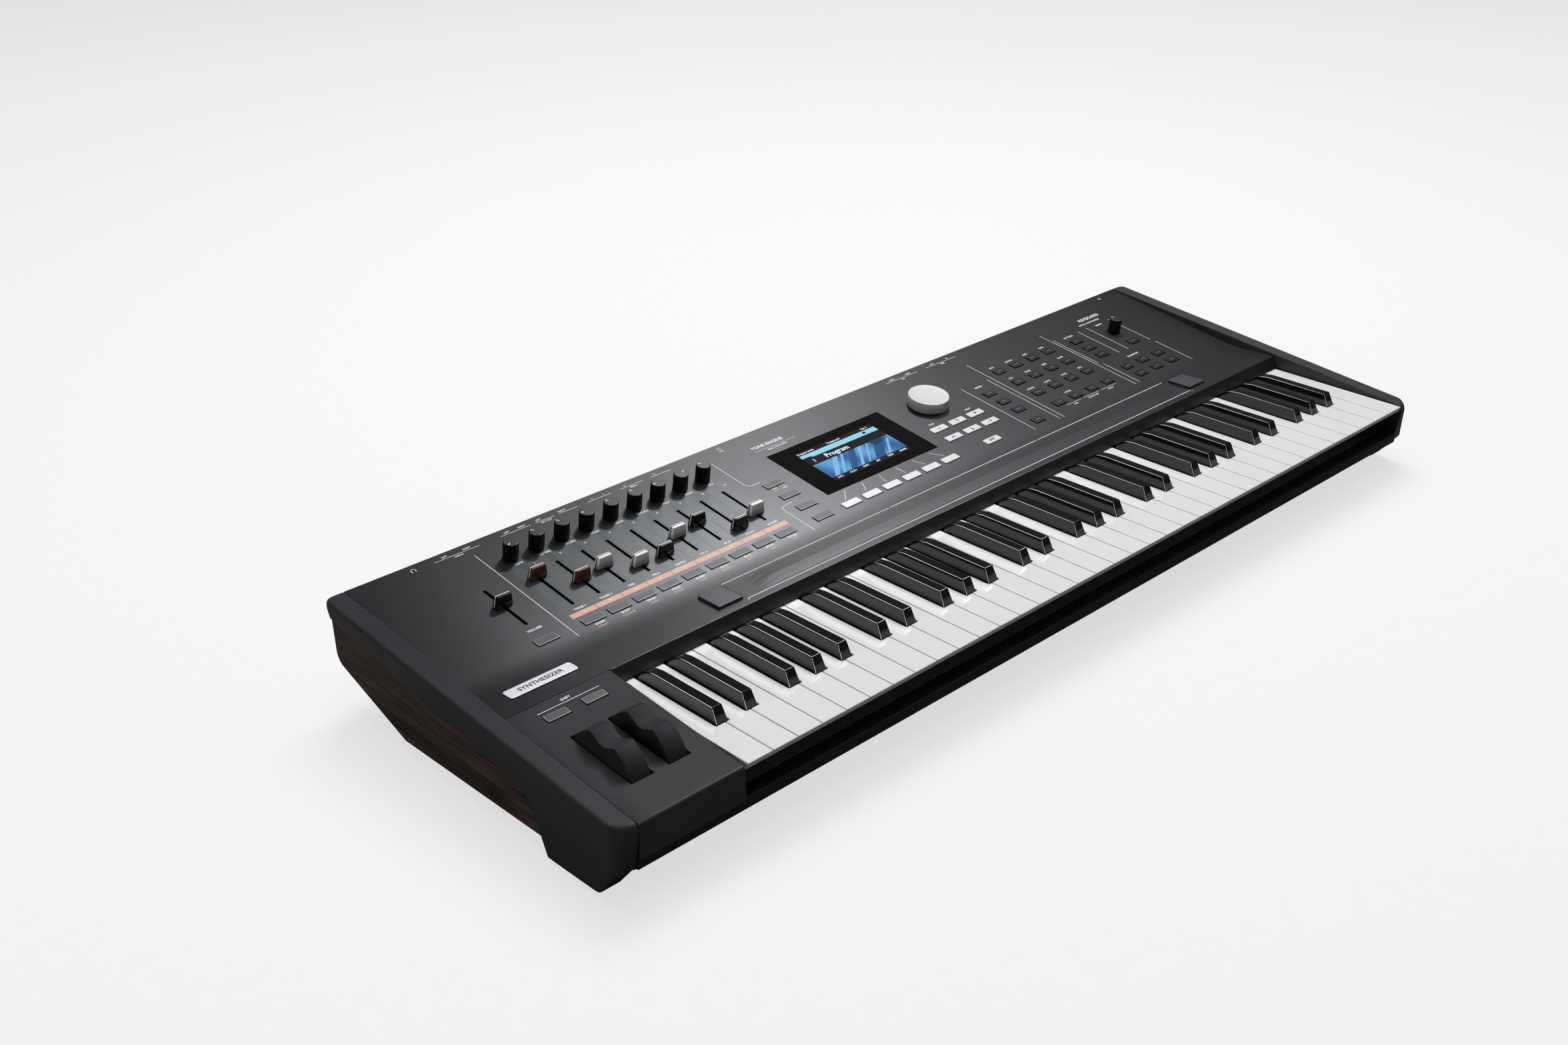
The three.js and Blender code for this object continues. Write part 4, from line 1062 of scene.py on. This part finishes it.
def picture(place):
    """The lit display: a status row, a light bar, a dark title row, a picture and a row of soft labels."""
    shape = Sculpt()
    left, right, front, rear = -46.8, 46.8, -26.4, 26.6
    status, bar_low, title_low, picture_low = rear - 5.5, rear - 12, rear - 23, front + 5.5
    level = 0.36
    black, blue, cyan, pale, deep = range(5)

    def area(points, tone, lift=0.0):
        shape.prism(points, level - 0.3, level + 0.02 + lift, place, tone)

    area(rectangle(left, front, right, rear), black)
    area(rectangle(left, picture_low, right, title_low), blue, 0.02)
    notch = [(left, bar_low + 2), (left + 9, bar_low + 2), (left + 12, bar_low), (right, bar_low)]
    area(notch + [(right, status), (left, status)], cyan, 0.02)
    area(rectangle(right - 17, bar_low + 2, right - 13.5, status - 1.5), black, 0.04)
    slant = 0.8 * (title_low - picture_low)
    pale_stripes = [(start, width, pale) for start, width in ((4, 6), (14, 3), (36, 4), (46, 2), (71, 3))]
    for start, width, tone in sorted(pale_stripes + [(24, 8, deep), (55, 12, deep)]):
        x = left + start
        low_side, high_side = (x, x + width), (x + width + slant, x + slant)
        corners = [(px, picture_low) for px in low_side] + [(px, title_low) for px in high_side]
        area([(min(px, right), py) for px, py in corners], tone, 0.04)
    for i in range(9):
        x = right - 2.2 - 2.4 * i
        area(rectangle(x - 1.2, title_low - 4 - 0.5 * i, x, title_low - 0.4), black, 0.06)
    tones = [
        screen("screen_black", (0.010, 0.010, 0.012)),
        screen("screen_picture"),
        screen("screen_cyan", (0.30, 0.70, 0.86)),
        screen("screen_pale_blue", (0.22, 0.50, 0.80)),
        screen("screen_deep_blue", (0.025, 0.10, 0.26)),
    ]
    shape.finish("display_picture", tones, "root", "glass")
    title, status_row, labels_row = (bar_low + title_low) / 2, rear - 2.8, front + 2.8
    texts = [
        ("1", -39, title, 6.5, "CENTER"),
        ("Program", -26, title, 8.2, "LEFT"),
        ("Program mode", -46, status_row, 3.2, "LEFT"),
        ("Transpose 0", -2, status_row, 3.2, "CENTER"),
        ("Part 1", 37, status_row, 3.2, "CENTER"),
    ]
    for i, label in enumerate(("OCT-", "OCT+", "PART", "SET", "VIEW", "MORE")):
        texts.append((label, -39 + 15.6 * i, labels_row, 3.0, "CENTER"))
    words = Print()
    centre = place.translation
    for text, x, y, size, align in texts:
        words.word(text, centre.x + x, centre.y + y * math.cos(PANEL_ANGLE), size, align=align, lift=level)
    words.finish("display_words", [screen("screen_white", (0.9, 0.92, 0.95))], "glass")


def name_plate():
    """The silver plate on the strip, with a generic word on it."""
    low, high = millimetres("name_plate")
    middle = centre_of("name_plate")
    lift = 1.2
    shape = Sculpt()
    place = strip.at(middle.x, middle.y)
    shape.pillow(high.x - low.x, high.y - low.y, 2.2, 0.3, lift, place, edge=0.35)
    shape.finish("maker_plate", [SILVER], "root", "silver", ("name_plate",))
    sheet = Print()
    sheet.word("SYNTHESIZER", middle.x, middle.y, 6.4, lift=lift, face=strip)
    sheet.finish("plate_print", [BLACK_INK], "silver")


# ---------------------------------------------------------------- casework

SEAM = 0.6
BODY_LEFT = -95 + SEAM
BLOCK_END = -1.8
EDGE_ROUND = 0.7
EDGE_STEPS = (0.05, 0.18, 0.4, 0.7)
WHEEL_SLOT = (19.6, 66)
SLIDER_SLOT = (2.8, 230.6, 284.3)
BUTTON_GAP = 0.5
PANEL_THICKNESS = 3.0
BLOCK_THICKNESS = 2.2


def arc_inset(radius, depth):
    """How far a rounded corner of this radius lies in from the full outline at a depth behind the face."""
    reach = radius - max(0.0, min(depth, radius))
    return radius - math.sqrt(radius * radius - reach * reach)


def button_openings(node, face):
    """The openings in the sheet round a bank's buttons, as (x0, x1, y0, y1) in instrument depths."""
    return [
        (x0 - BUTTON_GAP, x1 + BUTTON_GAP, face.depth(y0 - BUTTON_GAP), face.depth(y1 + BUTTON_GAP))
        for x0, y0, x1, y1 in button_tops(node, face)[0]
    ]


def lines_between(first, last, inside, closest=0.02):
    """Sorted grid lines from first to last through every opening's edges, none closer than this."""
    lines = [first]
    for value in sorted(v for v in inside if first < v < last):
        if value - lines[-1] > closest:
            lines.append(value)
    if last - lines[-1] <= closest:
        lines.pop()
    return lines + [last]


def panel_openings():
    """Every opening in the panel: buttons, sliders, display and ribbon, and smaller ones under the pads."""
    openings = []
    for node in ("effect_buttons", "display_buttons", "category_buttons", "transport_buttons"):
        openings += button_openings(node, panel)
    width, front, rear = SLIDER_SLOT
    for node in ("volume_fader", *(f"fader_{i + 1}" for i in range(CHANNELS))):
        x = centre_of(node).x
        openings.append((x - width / 2, x + width / 2, front, rear))
    low, high = millimetres("display_glass")
    openings.append((low.x - GAP, high.x + GAP, low.y - 0.1, high.y + GAP))
    low, high = millimetres("end_pads")
    half, front, rear = 10, 154, 177
    for x in (low.x + PAD_WIDE / 2, high.x - PAD_WIDE / 2):
        openings.append((x - half, x + half, front, rear))
    left, right, front, rear = RIBBON
    openings.append((left - GAP, right + GAP, front - GAP, rear + GAP))
    return openings


def front_edge(radius=1.5, steps=5):
    """Rows of the sheet from the foot of the key wall, up it and round the soft edge on to the strip."""
    wall = (STRIP_FRONT - WALL_FOOT).normalized()
    wall_normal, strip_normal = Vector((0, -wall.z, wall.y)), Vector((0, 0, 1))
    between = (wall_normal + strip_normal) / (1 + wall_normal.dot(strip_normal))
    centre = STRIP_FRONT - between * radius
    inner_corner = STRIP_FRONT - between * PANEL_THICKNESS
    inner_spread = 0.2
    rows = [(WALL_FOOT.y, WALL_FOOT.z, -1, 0)]
    for i in range(steps + 1):
        outer = centre + wall_normal.slerp(strip_normal, i / steps) * radius
        inner = inner_corner + (wall + Vector((0, 1, 0))) * (i / steps - 0.5) * inner_spread
        through = (outer - inner) / PANEL_THICKNESS
        rows.append((outer.y, outer.z, through.y, through.z))
    return rows


def top_panel():
    """The painted panel: control surface, bend, front strip and the wall down to the keys."""
    high = millimetres("top_panel")[1]
    left, right = BODY_LEFT, high.x + GAP - SEAM
    openings = panel_openings()
    behind_wall = STRIP_FRONT.y + 0.2
    block_corner = BLOCK_END + 0.5
    open_at_block = (left - 5, block_corner, 130, behind_wall)
    depths = [y for opening in openings for y in opening[2:]]
    depths += [BEND_Y - BEND + 2 * BEND * i / 8 for i in range(9)] + [behind_wall]
    rows = front_edge()
    for y in lines_between(STRIP_FRONT.y, high.y, depths)[1:]:
        slope = panel_height(y + 0.5) - panel_height(y - 0.5)
        length = math.hypot(1, slope)
        rows.append((y, panel_height(y), -slope / length, 1 / length))
    edges = [x for opening in openings for x in opening[:2]] + [block_corner]
    edges += [left + step for step in EDGE_STEPS] + [right - step for step in EDGE_STEPS]
    shape = Sculpt()
    shape.sheet(
        rows, lines_between(left, right, edges), openings + [open_at_block], PANEL_THICKNESS,
        lambda x: arc_inset(EDGE_ROUND, min(x - left, right - x)),
    )
    shape.finish("panel_skin", [PANEL], "root", "panel", ("top_panel",), bevel=0.35, smooth=True)


def slider_bay():
    """The printed field behind the sliders, a tone apart from the panel, one stripe for each channel."""
    shape = Sculpt()
    front, rear = panel.up(223), panel.up(299)
    for i in range(CHANNELS):
        x = FIRST_CHANNEL + CHANNEL_PITCH * i
        for x0, x1 in ((x - CHANNEL_PITCH / 2 + 0.5, x - 3), (x + 3, x + CHANNEL_PITCH / 2 - 0.2)):
            shape.prism(rectangle(x0, front, x1, rear), 0.005, 0.03, panel.plane)
    shape.finish("slider_bay", [BAY], "root", "panel")


def controller_block():
    """The hood over the thumb wheels, its front edge softly rounded, and its wall beside the keys."""
    low, high = millimetres("controller_block")
    radius, fillet = 3.0, 1.6
    rows = [(low.y, low.z, -1, 0)]
    for i in range(7):
        turn = math.radians(90) * i / 6 - (block.angle if i == 6 else 0)
        y = low.y + radius * (1 - math.cos(turn))
        z = block.height(low.y + radius) - radius * (1 - math.sin(turn))
        rows.append((y, z, -math.cos(turn), math.sin(turn)))
    openings = button_openings("transpose_buttons", block)
    width, length = WHEEL_SLOT
    reach = length / 2 * math.cos(block.angle)
    for node in ("pitch_wheel", "mod_wheel"):
        x = centre_of(node).x
        openings.append((x - width / 2, x + width / 2, WHEEL_CENTRE_Y - reach, WHEEL_CENTRE_Y + reach))
    depths = [y for opening in openings for y in opening[2:]]
    for y in lines_between(low.y + radius + 0.6, BLOCK_DEPTH, depths):
        rows.append((y, block.height(y), -math.sin(block.angle), math.cos(block.angle)))
    edges = [x for opening in openings for x in opening[:2]] + [BODY_LEFT + step for step in EDGE_STEPS]
    edges += [high.x - fillet * (1 - math.sin(math.radians(15) * i)) for i in range(6)]
    shape = Sculpt()
    shape.sheet(
        rows, lines_between(BODY_LEFT, high.x, edges, 0.005), openings, BLOCK_THICKNESS,
        lambda x: arc_inset(EDGE_ROUND, x - BODY_LEFT) + arc_inset(fillet, high.x - x),
    )
    front, wall, under = low.y + 0.6, high.x - 0.02, 2.9
    side = [(front, low.z), (front, block.height(0) - 5), (4, block.height(4) - under)]
    side += [(BLOCK_DEPTH, block.height(BLOCK_DEPTH) - under), (BLOCK_DEPTH, low.z)]
    shape.slab(side, wall - 3, wall)
    shape.finish("wheel_block", [CASING], "root", "casing", ("controller_block",), bevel=0.3, smooth=True)


def curve(start, control, end, steps):
    """Points of a quadratic curve in a side view."""
    return [
        tuple(bezier(a, b, c, i / steps) for a, b, c in zip(start, control, end)) for i in range(steps + 1)
    ]


# The underside of a side cap: forwards to the front leg, down its back, round its heel and up its front.
# A point of the heel also says how far the rounding of the lower edge moves it, along Y and up.
CHEEK_UNDER = (
    (343.5, 18.5), (248, 5), (131, -12), (120, -13.7), (110.5, -15.6), (103.5, -18.3), (98.5, -21.6),
    (95.2, -25.4), (93, -30),
)
CHEEK_HEEL = ((84.5, -50, -1, 0), (80.3, -60.2, -1, 0.4), (79, -61, -1, 1))
CHEEK_FRONT = (
    (60, -60.7), (40, -60.3), *curve((27, -60), (23.5, -59.8), (22, -57), 5),
    (15, -48.5), (4, -35), (1.6, -17),
)
CHEEK_DEPTHS = (0.02, 0.12, 0.35, 0.7, 1.2, 1.9, 2.7, 4, 6, 8.5, 11.5, 15.2)


def cheek_top(length, rise):
    """The top outline of a side cap, from its rounded nose to its rounded rear corner."""
    top = curve((0, -7), (0, 0), (6, rise * 6), 8)
    top += [(y, rise * y) for y in (12, 20, 34, 90, 200, 300, length - 20, length - 12)]
    rear = ((length - 6, rise * (length - 6)), (length, rise * length), (length, rise * length - 6))
    return top + curve(*rear, 8)


def cheek_ring(depth, length, rise):
    """Side outline of a cap at a depth behind its outer face: corners rounded in plan, edges rounded."""
    edge = arc_inset(2.6, depth)
    low_edge = arc_inset(1.4, depth)

    def forward(y, z):
        corner = 15 if z > 0 else max(3, 15 + z * 0.25)
        front = arc_inset(corner, depth) * max(0.0, 1 - y / 34)
        rear = arc_inset(8, depth) * max(0.0, 1 - (length - y) / 20)
        return y + front - rear

    ring = []
    for y, z in cheek_top(length, rise):
        moved = forward(y, z)
        ring.append((moved, z + rise * (moved - y) - edge))
    for y, z in CHEEK_UNDER:
        steep = max(0.0, min(1.0, (-z - 14) / 16))
        ring.append((forward(y, z) - low_edge * steep, z + low_edge * (1 - steep)))
    ring += [(y + low_edge * along, z + low_edge * up) for y, z, along, up in CHEEK_HEEL]
    for y, z in CHEEK_FRONT:
        ring.append((forward(y, z) + low_edge * 0.3, z + low_edge * (0.8 if z < -30 else 0)))
    return ring


def cheek(side):
    """A moulded side cap with softly rounded top edges, front corner and heel."""
    node = f"{side}_cheek"
    low, high = millimetres(node)
    outside, inside = (low.x, high.x) if side == "left" else (high.x, low.x)
    inward = 1 if inside > outside else -1
    length = high.y - low.y
    rise = high.z / length
    rings = []
    for depth in CHEEK_DEPTHS:
        rings.append([(outside + inward * depth, y, z) for y, z in cheek_ring(depth, length, rise)])
    last = cheek_ring(16, length, rise)
    rounded_count = len(cheek_top(length, rise)) + 1  # the top outline and the foot of the rear edge
    for step in (*reversed(EDGE_STEPS), 0.0):
        drop = arc_inset(EDGE_ROUND, step)
        x = inside - inward * step
        rings.append([(x, y, z - drop if i < rounded_count else z) for i, (y, z) in enumerate(last)])
    shape = Sculpt()
    shape.loft(rings)
    piece = shape.finish(node + "_cap", [CASING], "root", "casing", (node,))
    sharpen(piece, 35)


def sharpen(piece, degrees):
    """Smooth shading that keeps edges steeper than the angle crisp."""
    for polygon in piece.data.polygons:
        polygon.use_smooth = True
    piece.data.set_sharp_from_angle(angle=math.radians(degrees))


def ribbon():
    """The ribbon: a faceted pad that rises to a low ridge along its middle and lies flat at both ends."""
    left, right, front, rear = RIBBON
    ridge_y, height, thickness, border = 165.5, 0.85, 0.8, 3.5
    flat_end, slope_end = 17.8, 22
    ends = ((left, 0), (left + flat_end, 0), (left + flat_end + slope_end, 1))
    stations = [*ends, *((left + right - x, full) for x, full in reversed(ends))]
    foot, far_foot = front + border, rear - border
    shape = Sculpt()
    skin = shape.bm
    grid = []
    for x, full in stations:
        line = []
        for y in (front, foot, 158, ridge_y, 172, far_foot, rear):
            climb = max(0.0, (y - foot) / (ridge_y - foot)) ** 0.8
            fall = max(0.0, (far_foot - y) / (far_foot - ridge_y))
            surface = panel_height(y) - 0.12
            top = surface + height * (climb if y <= ridge_y else fall) * full
            line.append((skin.verts.new((x, y, top)), skin.verts.new((x, y, surface - thickness))))
        grid.append(line)
    last_x, last_y = len(grid) - 1, len(grid[0]) - 1

    def close(a, b):
        skin.faces.new((a[0], a[1], b[1], b[0]))

    for i in range(last_x):
        for j in range(last_y):
            corners = (grid[i][j], grid[i + 1][j], grid[i + 1][j + 1], grid[i][j + 1])
            skin.faces.new([top for top, under in corners])
            skin.faces.new([under for top, under in reversed(corners)])
        close(grid[i][0], grid[i + 1][0])
        close(grid[i + 1][last_y], grid[i][last_y])
    for j in range(last_y):
        close(grid[0][j + 1], grid[0][j])
    for j in range(last_y):
        close(grid[last_x][j], grid[last_x][j + 1])
    shape.finish("ribbon_pad", [RIBBON_PAD], "root", "rubber", ("ribbon_strip",), bevel=0.2)


def casework():
    """CAD parts that keep their own shape with a finish, then the case's rebuilt skins."""
    dress("bottom_case", RAIL, 0.8)
    dress("rear_panel", CASING)
    dress("left_wood_side", WOOD, 0.8)
    dress("right_wood_side", WOOD, 0.8)
    dress("front_rail", RAIL, 0.4)
    dress("keybed_chassis", STEEL, 0.3)
    dress("main_board", BOARD)
    dress("jack_board", KNOB)
    dress("display_module", STEEL, 0.4)
    dress("power_switch", CAP_BLACK, 0.4)
    for side in ("left", "right"):
        cheek(side)
        for end in ("front", "rear"):
            dress(f"{end}_{side}_foot", RUBBER, 0.8, 3)
    top_panel()
    slider_bay()
    controller_block()
    ribbon()


SOCKET_HEIGHT = 6
JACKS = (-38, *(120 + 24 * i for i in range(8)), *(350 + 24 * i for i in range(3)))
DIN_SOCKETS = (480, 506, 532)
POWER_INLET = 770


def rear_sockets():
    """Rings, bores and contacts of the sockets along the rear panel, and the pins of the power inlet."""
    rear = millimetres("rear_panel")[1].y
    outward = Matrix.Rotation(math.radians(-90), 4, "X")
    shape = Sculpt()

    def at(x, dz=0, behind=0):
        return Matrix.Translation((x, rear - behind, SOCKET_HEIGHT + dz)) @ outward

    nut = [(5.0, -2.6), (5.0, 0.03), (6.9, 0.03), (6.9, 1.1), (6.5, 1.4), (3.9, 1.4), (3.3, 1.0), (3.3, -2.2)]
    for x in JACKS:
        shape.lathe(nut, at(x), 40)
        shape.lathe([(3.2, -2.1), (3.2, -1.5), (2.6, -1.4), (2.6, -2.0)], at(x), 28, 1)
    shell = [(8.2, -2.6), (8.2, 0.03), (10.2, 0.03), (10.2, 0.9), (9.8, 1.2), (7.4, 1.2), (7.1, 0.8)]
    for x in DIN_SOCKETS:
        shape.lathe(shell + [(7.1, -2.0)], at(x))
        shape.lathe([(6.9, -2.4), (6.9, -0.9), (6.5, -0.6)], at(x), 40)
        for i in range(5):
            turn = math.radians(180 + 45 * i)
            hole = at(x) @ Matrix.Translation((4.4 * math.cos(turn), 4.4 * math.sin(turn), 0))
            shape.lathe([(0.75, -1.4), (0.75, -0.5), (0.45, -0.5), (0.45, -1.2)], hole, 16, 1)
        for side in (-1, 1):
            shape.lathe([(1.7, -0.2), (1.7, 0.5), (1.2, 0.9), (0.6, 0.55)], at(x + 12.4 * side), 20, 1)
    for dx, dz in ((-5.5, -1.5), (0, 2.5), (5.5, -1.5)):
        shape.pillow(1.6, 4.2, 0.3, -4, 4.5, at(POWER_INLET + dx, dz, 6), 1, edge=0.4)
    shape.finish("rear_sockets", [CAP_BLACK, STEEL], "root", "cap_black")


# ---------------------------------------------------------------- studio

CAMERA_PLACE = (-1.0399, -0.9170, 0.7499)
CAMERA_AZIMUTH = math.radians(-43.2645)
CAMERA_ELEVATION = math.radians(26.913)
CAMERA_ROLL = math.radians(-0.813)
CAMERA_LENS = 41.33


def camera():
    """The eye at the front left, looking down along the keys."""
    data = bpy.data.cameras.new("camera")
    data.lens = CAMERA_LENS
    data.sensor_width = 36
    data.clip_start, data.clip_end = 0.05, 50
    eye = bpy.data.objects.new("camera", data)
    bpy.context.scene.collection.objects.link(eye)
    back = Vector((math.sin(CAMERA_AZIMUTH), -math.cos(CAMERA_AZIMUTH), math.tan(CAMERA_ELEVATION)))
    turn = (-back).to_track_quat("-Z", "Y").to_matrix().to_4x4()
    eye.matrix_world = Matrix.Translation(CAMERA_PLACE) @ turn @ Matrix.Rotation(CAMERA_ROLL, 4, "Z")
    bpy.context.scene.camera = eye


def soft_light(name, place, target, size, power, only=(), colour=(1, 1, 1)):
    """A softbox. With pieces named it shows only in their reflections; without, it is never reflected."""
    data = bpy.data.lights.new(name, "AREA")
    data.shape = "RECTANGLE"
    data.size, data.size_y = size
    data.energy = power
    data.color = colour
    lamp = bpy.data.objects.new(name, data)
    lamp.location = place
    lamp.rotation_euler = (Vector(target) - Vector(place)).to_track_quat("-Z", "Y").to_euler()
    lamp.visible_diffuse = not only
    lamp.visible_glossy = bool(only)
    bpy.context.scene.collection.objects.link(lamp)
    if only:
        lit = bpy.data.collections.new(name + "_lit")
        for piece in only:
            lit.objects.link(bpy.data.objects[piece])
        lamp.light_linking.receiver_collection = lit


def mixed(tree, share, first, second):
    """One shader laid over another by a share of 0 to 1."""
    return add_node(tree, "MixShader", {0: share, 1: first, 2: second}).outputs["Shader"]


def studio_floor():
    """Pale paper: mostly an even glow to the camera, and a dim grey that throws little light back."""
    material, tree, shader, place = new_material("floor_paper")
    fibre = ramp(tree, noise(tree, place, 60, 3), [(0.3, (0.86, 0.86, 0.86)), (0.7, (0.88, 0.88, 0.88))])
    wire(tree, shader, {"Base Color": fibre, "Roughness": 0.9, "Specular IOR Level": 0.1})
    glow = add_node(tree, "Emission", {"Color": (0.95, 0.95, 0.95, 1)})
    dim = add_node(tree, "BsdfDiffuse", {"Color": (0.16, 0.16, 0.16, 1)})
    lit = mixed(tree, 0.72, shader.outputs["BSDF"], glow.outputs["Emission"])
    to_camera = add_node(tree, "LightPath", {}).outputs["Is Camera Ray"]
    output = next(node for node in tree.nodes if node.bl_idname == "ShaderNodeOutputMaterial")
    wire(tree, output, {"Surface": mixed(tree, to_camera, dim.outputs["BSDF"], lit)})
    return material


def studio_world():
    """White to the camera, dim to the object, so that dark plastic keeps its depth."""
    world = bpy.data.worlds.new("studio")
    world.use_nodes = True
    tree = world.node_tree
    to_camera = add_node(tree, "LightPath", {}).outputs["Is Camera Ray"]
    wire(tree, tree.nodes["Background"], {
        "Strength": spread(tree, to_camera, 0.078, 0.96),
        "Color": (0.97, 0.98, 1, 1),
    })
    bpy.context.scene.world = world


def pieces_named(*starts):
    """Names of the meshes that begin with any of these words."""
    meshes = [piece.name for piece in bpy.data.objects if piece.type == "MESH"]
    return [name for name in meshes if name.startswith(starts)]


def studio_lamps():
    """Three softboxes for plain light, then lamps for the reflections of each kind of surface."""
    black = pieces_named("black_keys")
    keys = pieces_named("white_keys", "black_keys")
    casing = pieces_named(
        "left_", "right_", "wheel_block", "bottom", "front_", "rear_", "power", "pitch", "mod",
    )
    painted = pieces_named(
        "panel", "slider_bay", "ribbon", "end_pad", "knob", "tempo", "fader", "volume", "data", "transpose",
        "effect", "display_buttons", "category", "transport", "maker", "plate",
    )
    middle = (0, 0, 0.05)
    cool = (0.945, 0.958, 1.0)
    front_place, front_size = (1.2, -0.2, 1.9), (0.8, 0.8)
    soft_light("key_softbox", (0.98, 0.88, 2.5), middle, (1.7, 1.3), 58)
    soft_light("top_softbox", (-0.3, 0.0, 2.6), middle, (2.2, 1.4), 24)
    soft_light("left_fill", (-2.6, 0.3, 0.9), middle, (1.4, 0.9), 9)
    soft_light("edge_light", (1.05, 1.15, 2.1), middle, (0.45, 0.3), 3.4, keys + casing)
    soft_light("sheen", (0.622, 0.542, 1.3), (-0.14, 0.05, 0.08), (0.16, 0.16), 22, painted, cool)
    soft_light("left_sheen", (-0.2, 0.3, 1.3), (-0.4, 0.0, 0.08), (0.16, 0.16), 2, painted, cool)
    soft_light("low_sheen", (0.78, 1.01, 0.68), (-0.14, -0.01, 0.07), (0.3, 0.3), 0.9, painted)
    soft_light("front_edges", front_place, middle, front_size, 50, painted, cool)
    soft_light("casing_edges", front_place, middle, front_size, 20, casing, cool)
    soft_light("right_glow", (1.55, 0.63, 0.69), (0.47, 0, 0.1), (0.5, 0.5), 0.4, ["right_cheek_cap"])
    soft_light("key_edges", (-1.6, 2.2, 2.15), middle, (1.8, 1.2), 110, black)
    soft_light("key_noses", (2.0, -0.2, 2.6), middle, (0.6, 0.8), 35, black)
    soft_light("key_corners", (-1.8, -1.6, 0.45), middle, (1.2, 0.9), 60, black)


def studio():
    """Pale floor, world and lamps."""
    shape = bmesh.new()
    bmesh.ops.create_grid(shape, x_segments=1, y_segments=1, size=12)
    mesh = bpy.data.meshes.new("floor")
    shape.to_mesh(mesh)
    shape.free()
    floor = bpy.data.objects.new("floor", mesh)
    floor.data.materials.append(studio_floor())
    bpy.context.scene.collection.objects.link(floor)
    studio_world()
    studio_lamps()
    bpy.context.scene.view_settings.view_transform = "Standard"


casework()
for octave in range(OCTAVES):
    white_keys(octave)
    black_keys(octave)
knobs()
sliders()
data_wheel()
rear_sockets()
thumb_wheel("pitch_wheel")
thumb_wheel("mod_wheel")
end_pads()
all_buttons()
display()
name_plate()
panel_print()
camera()
studio()
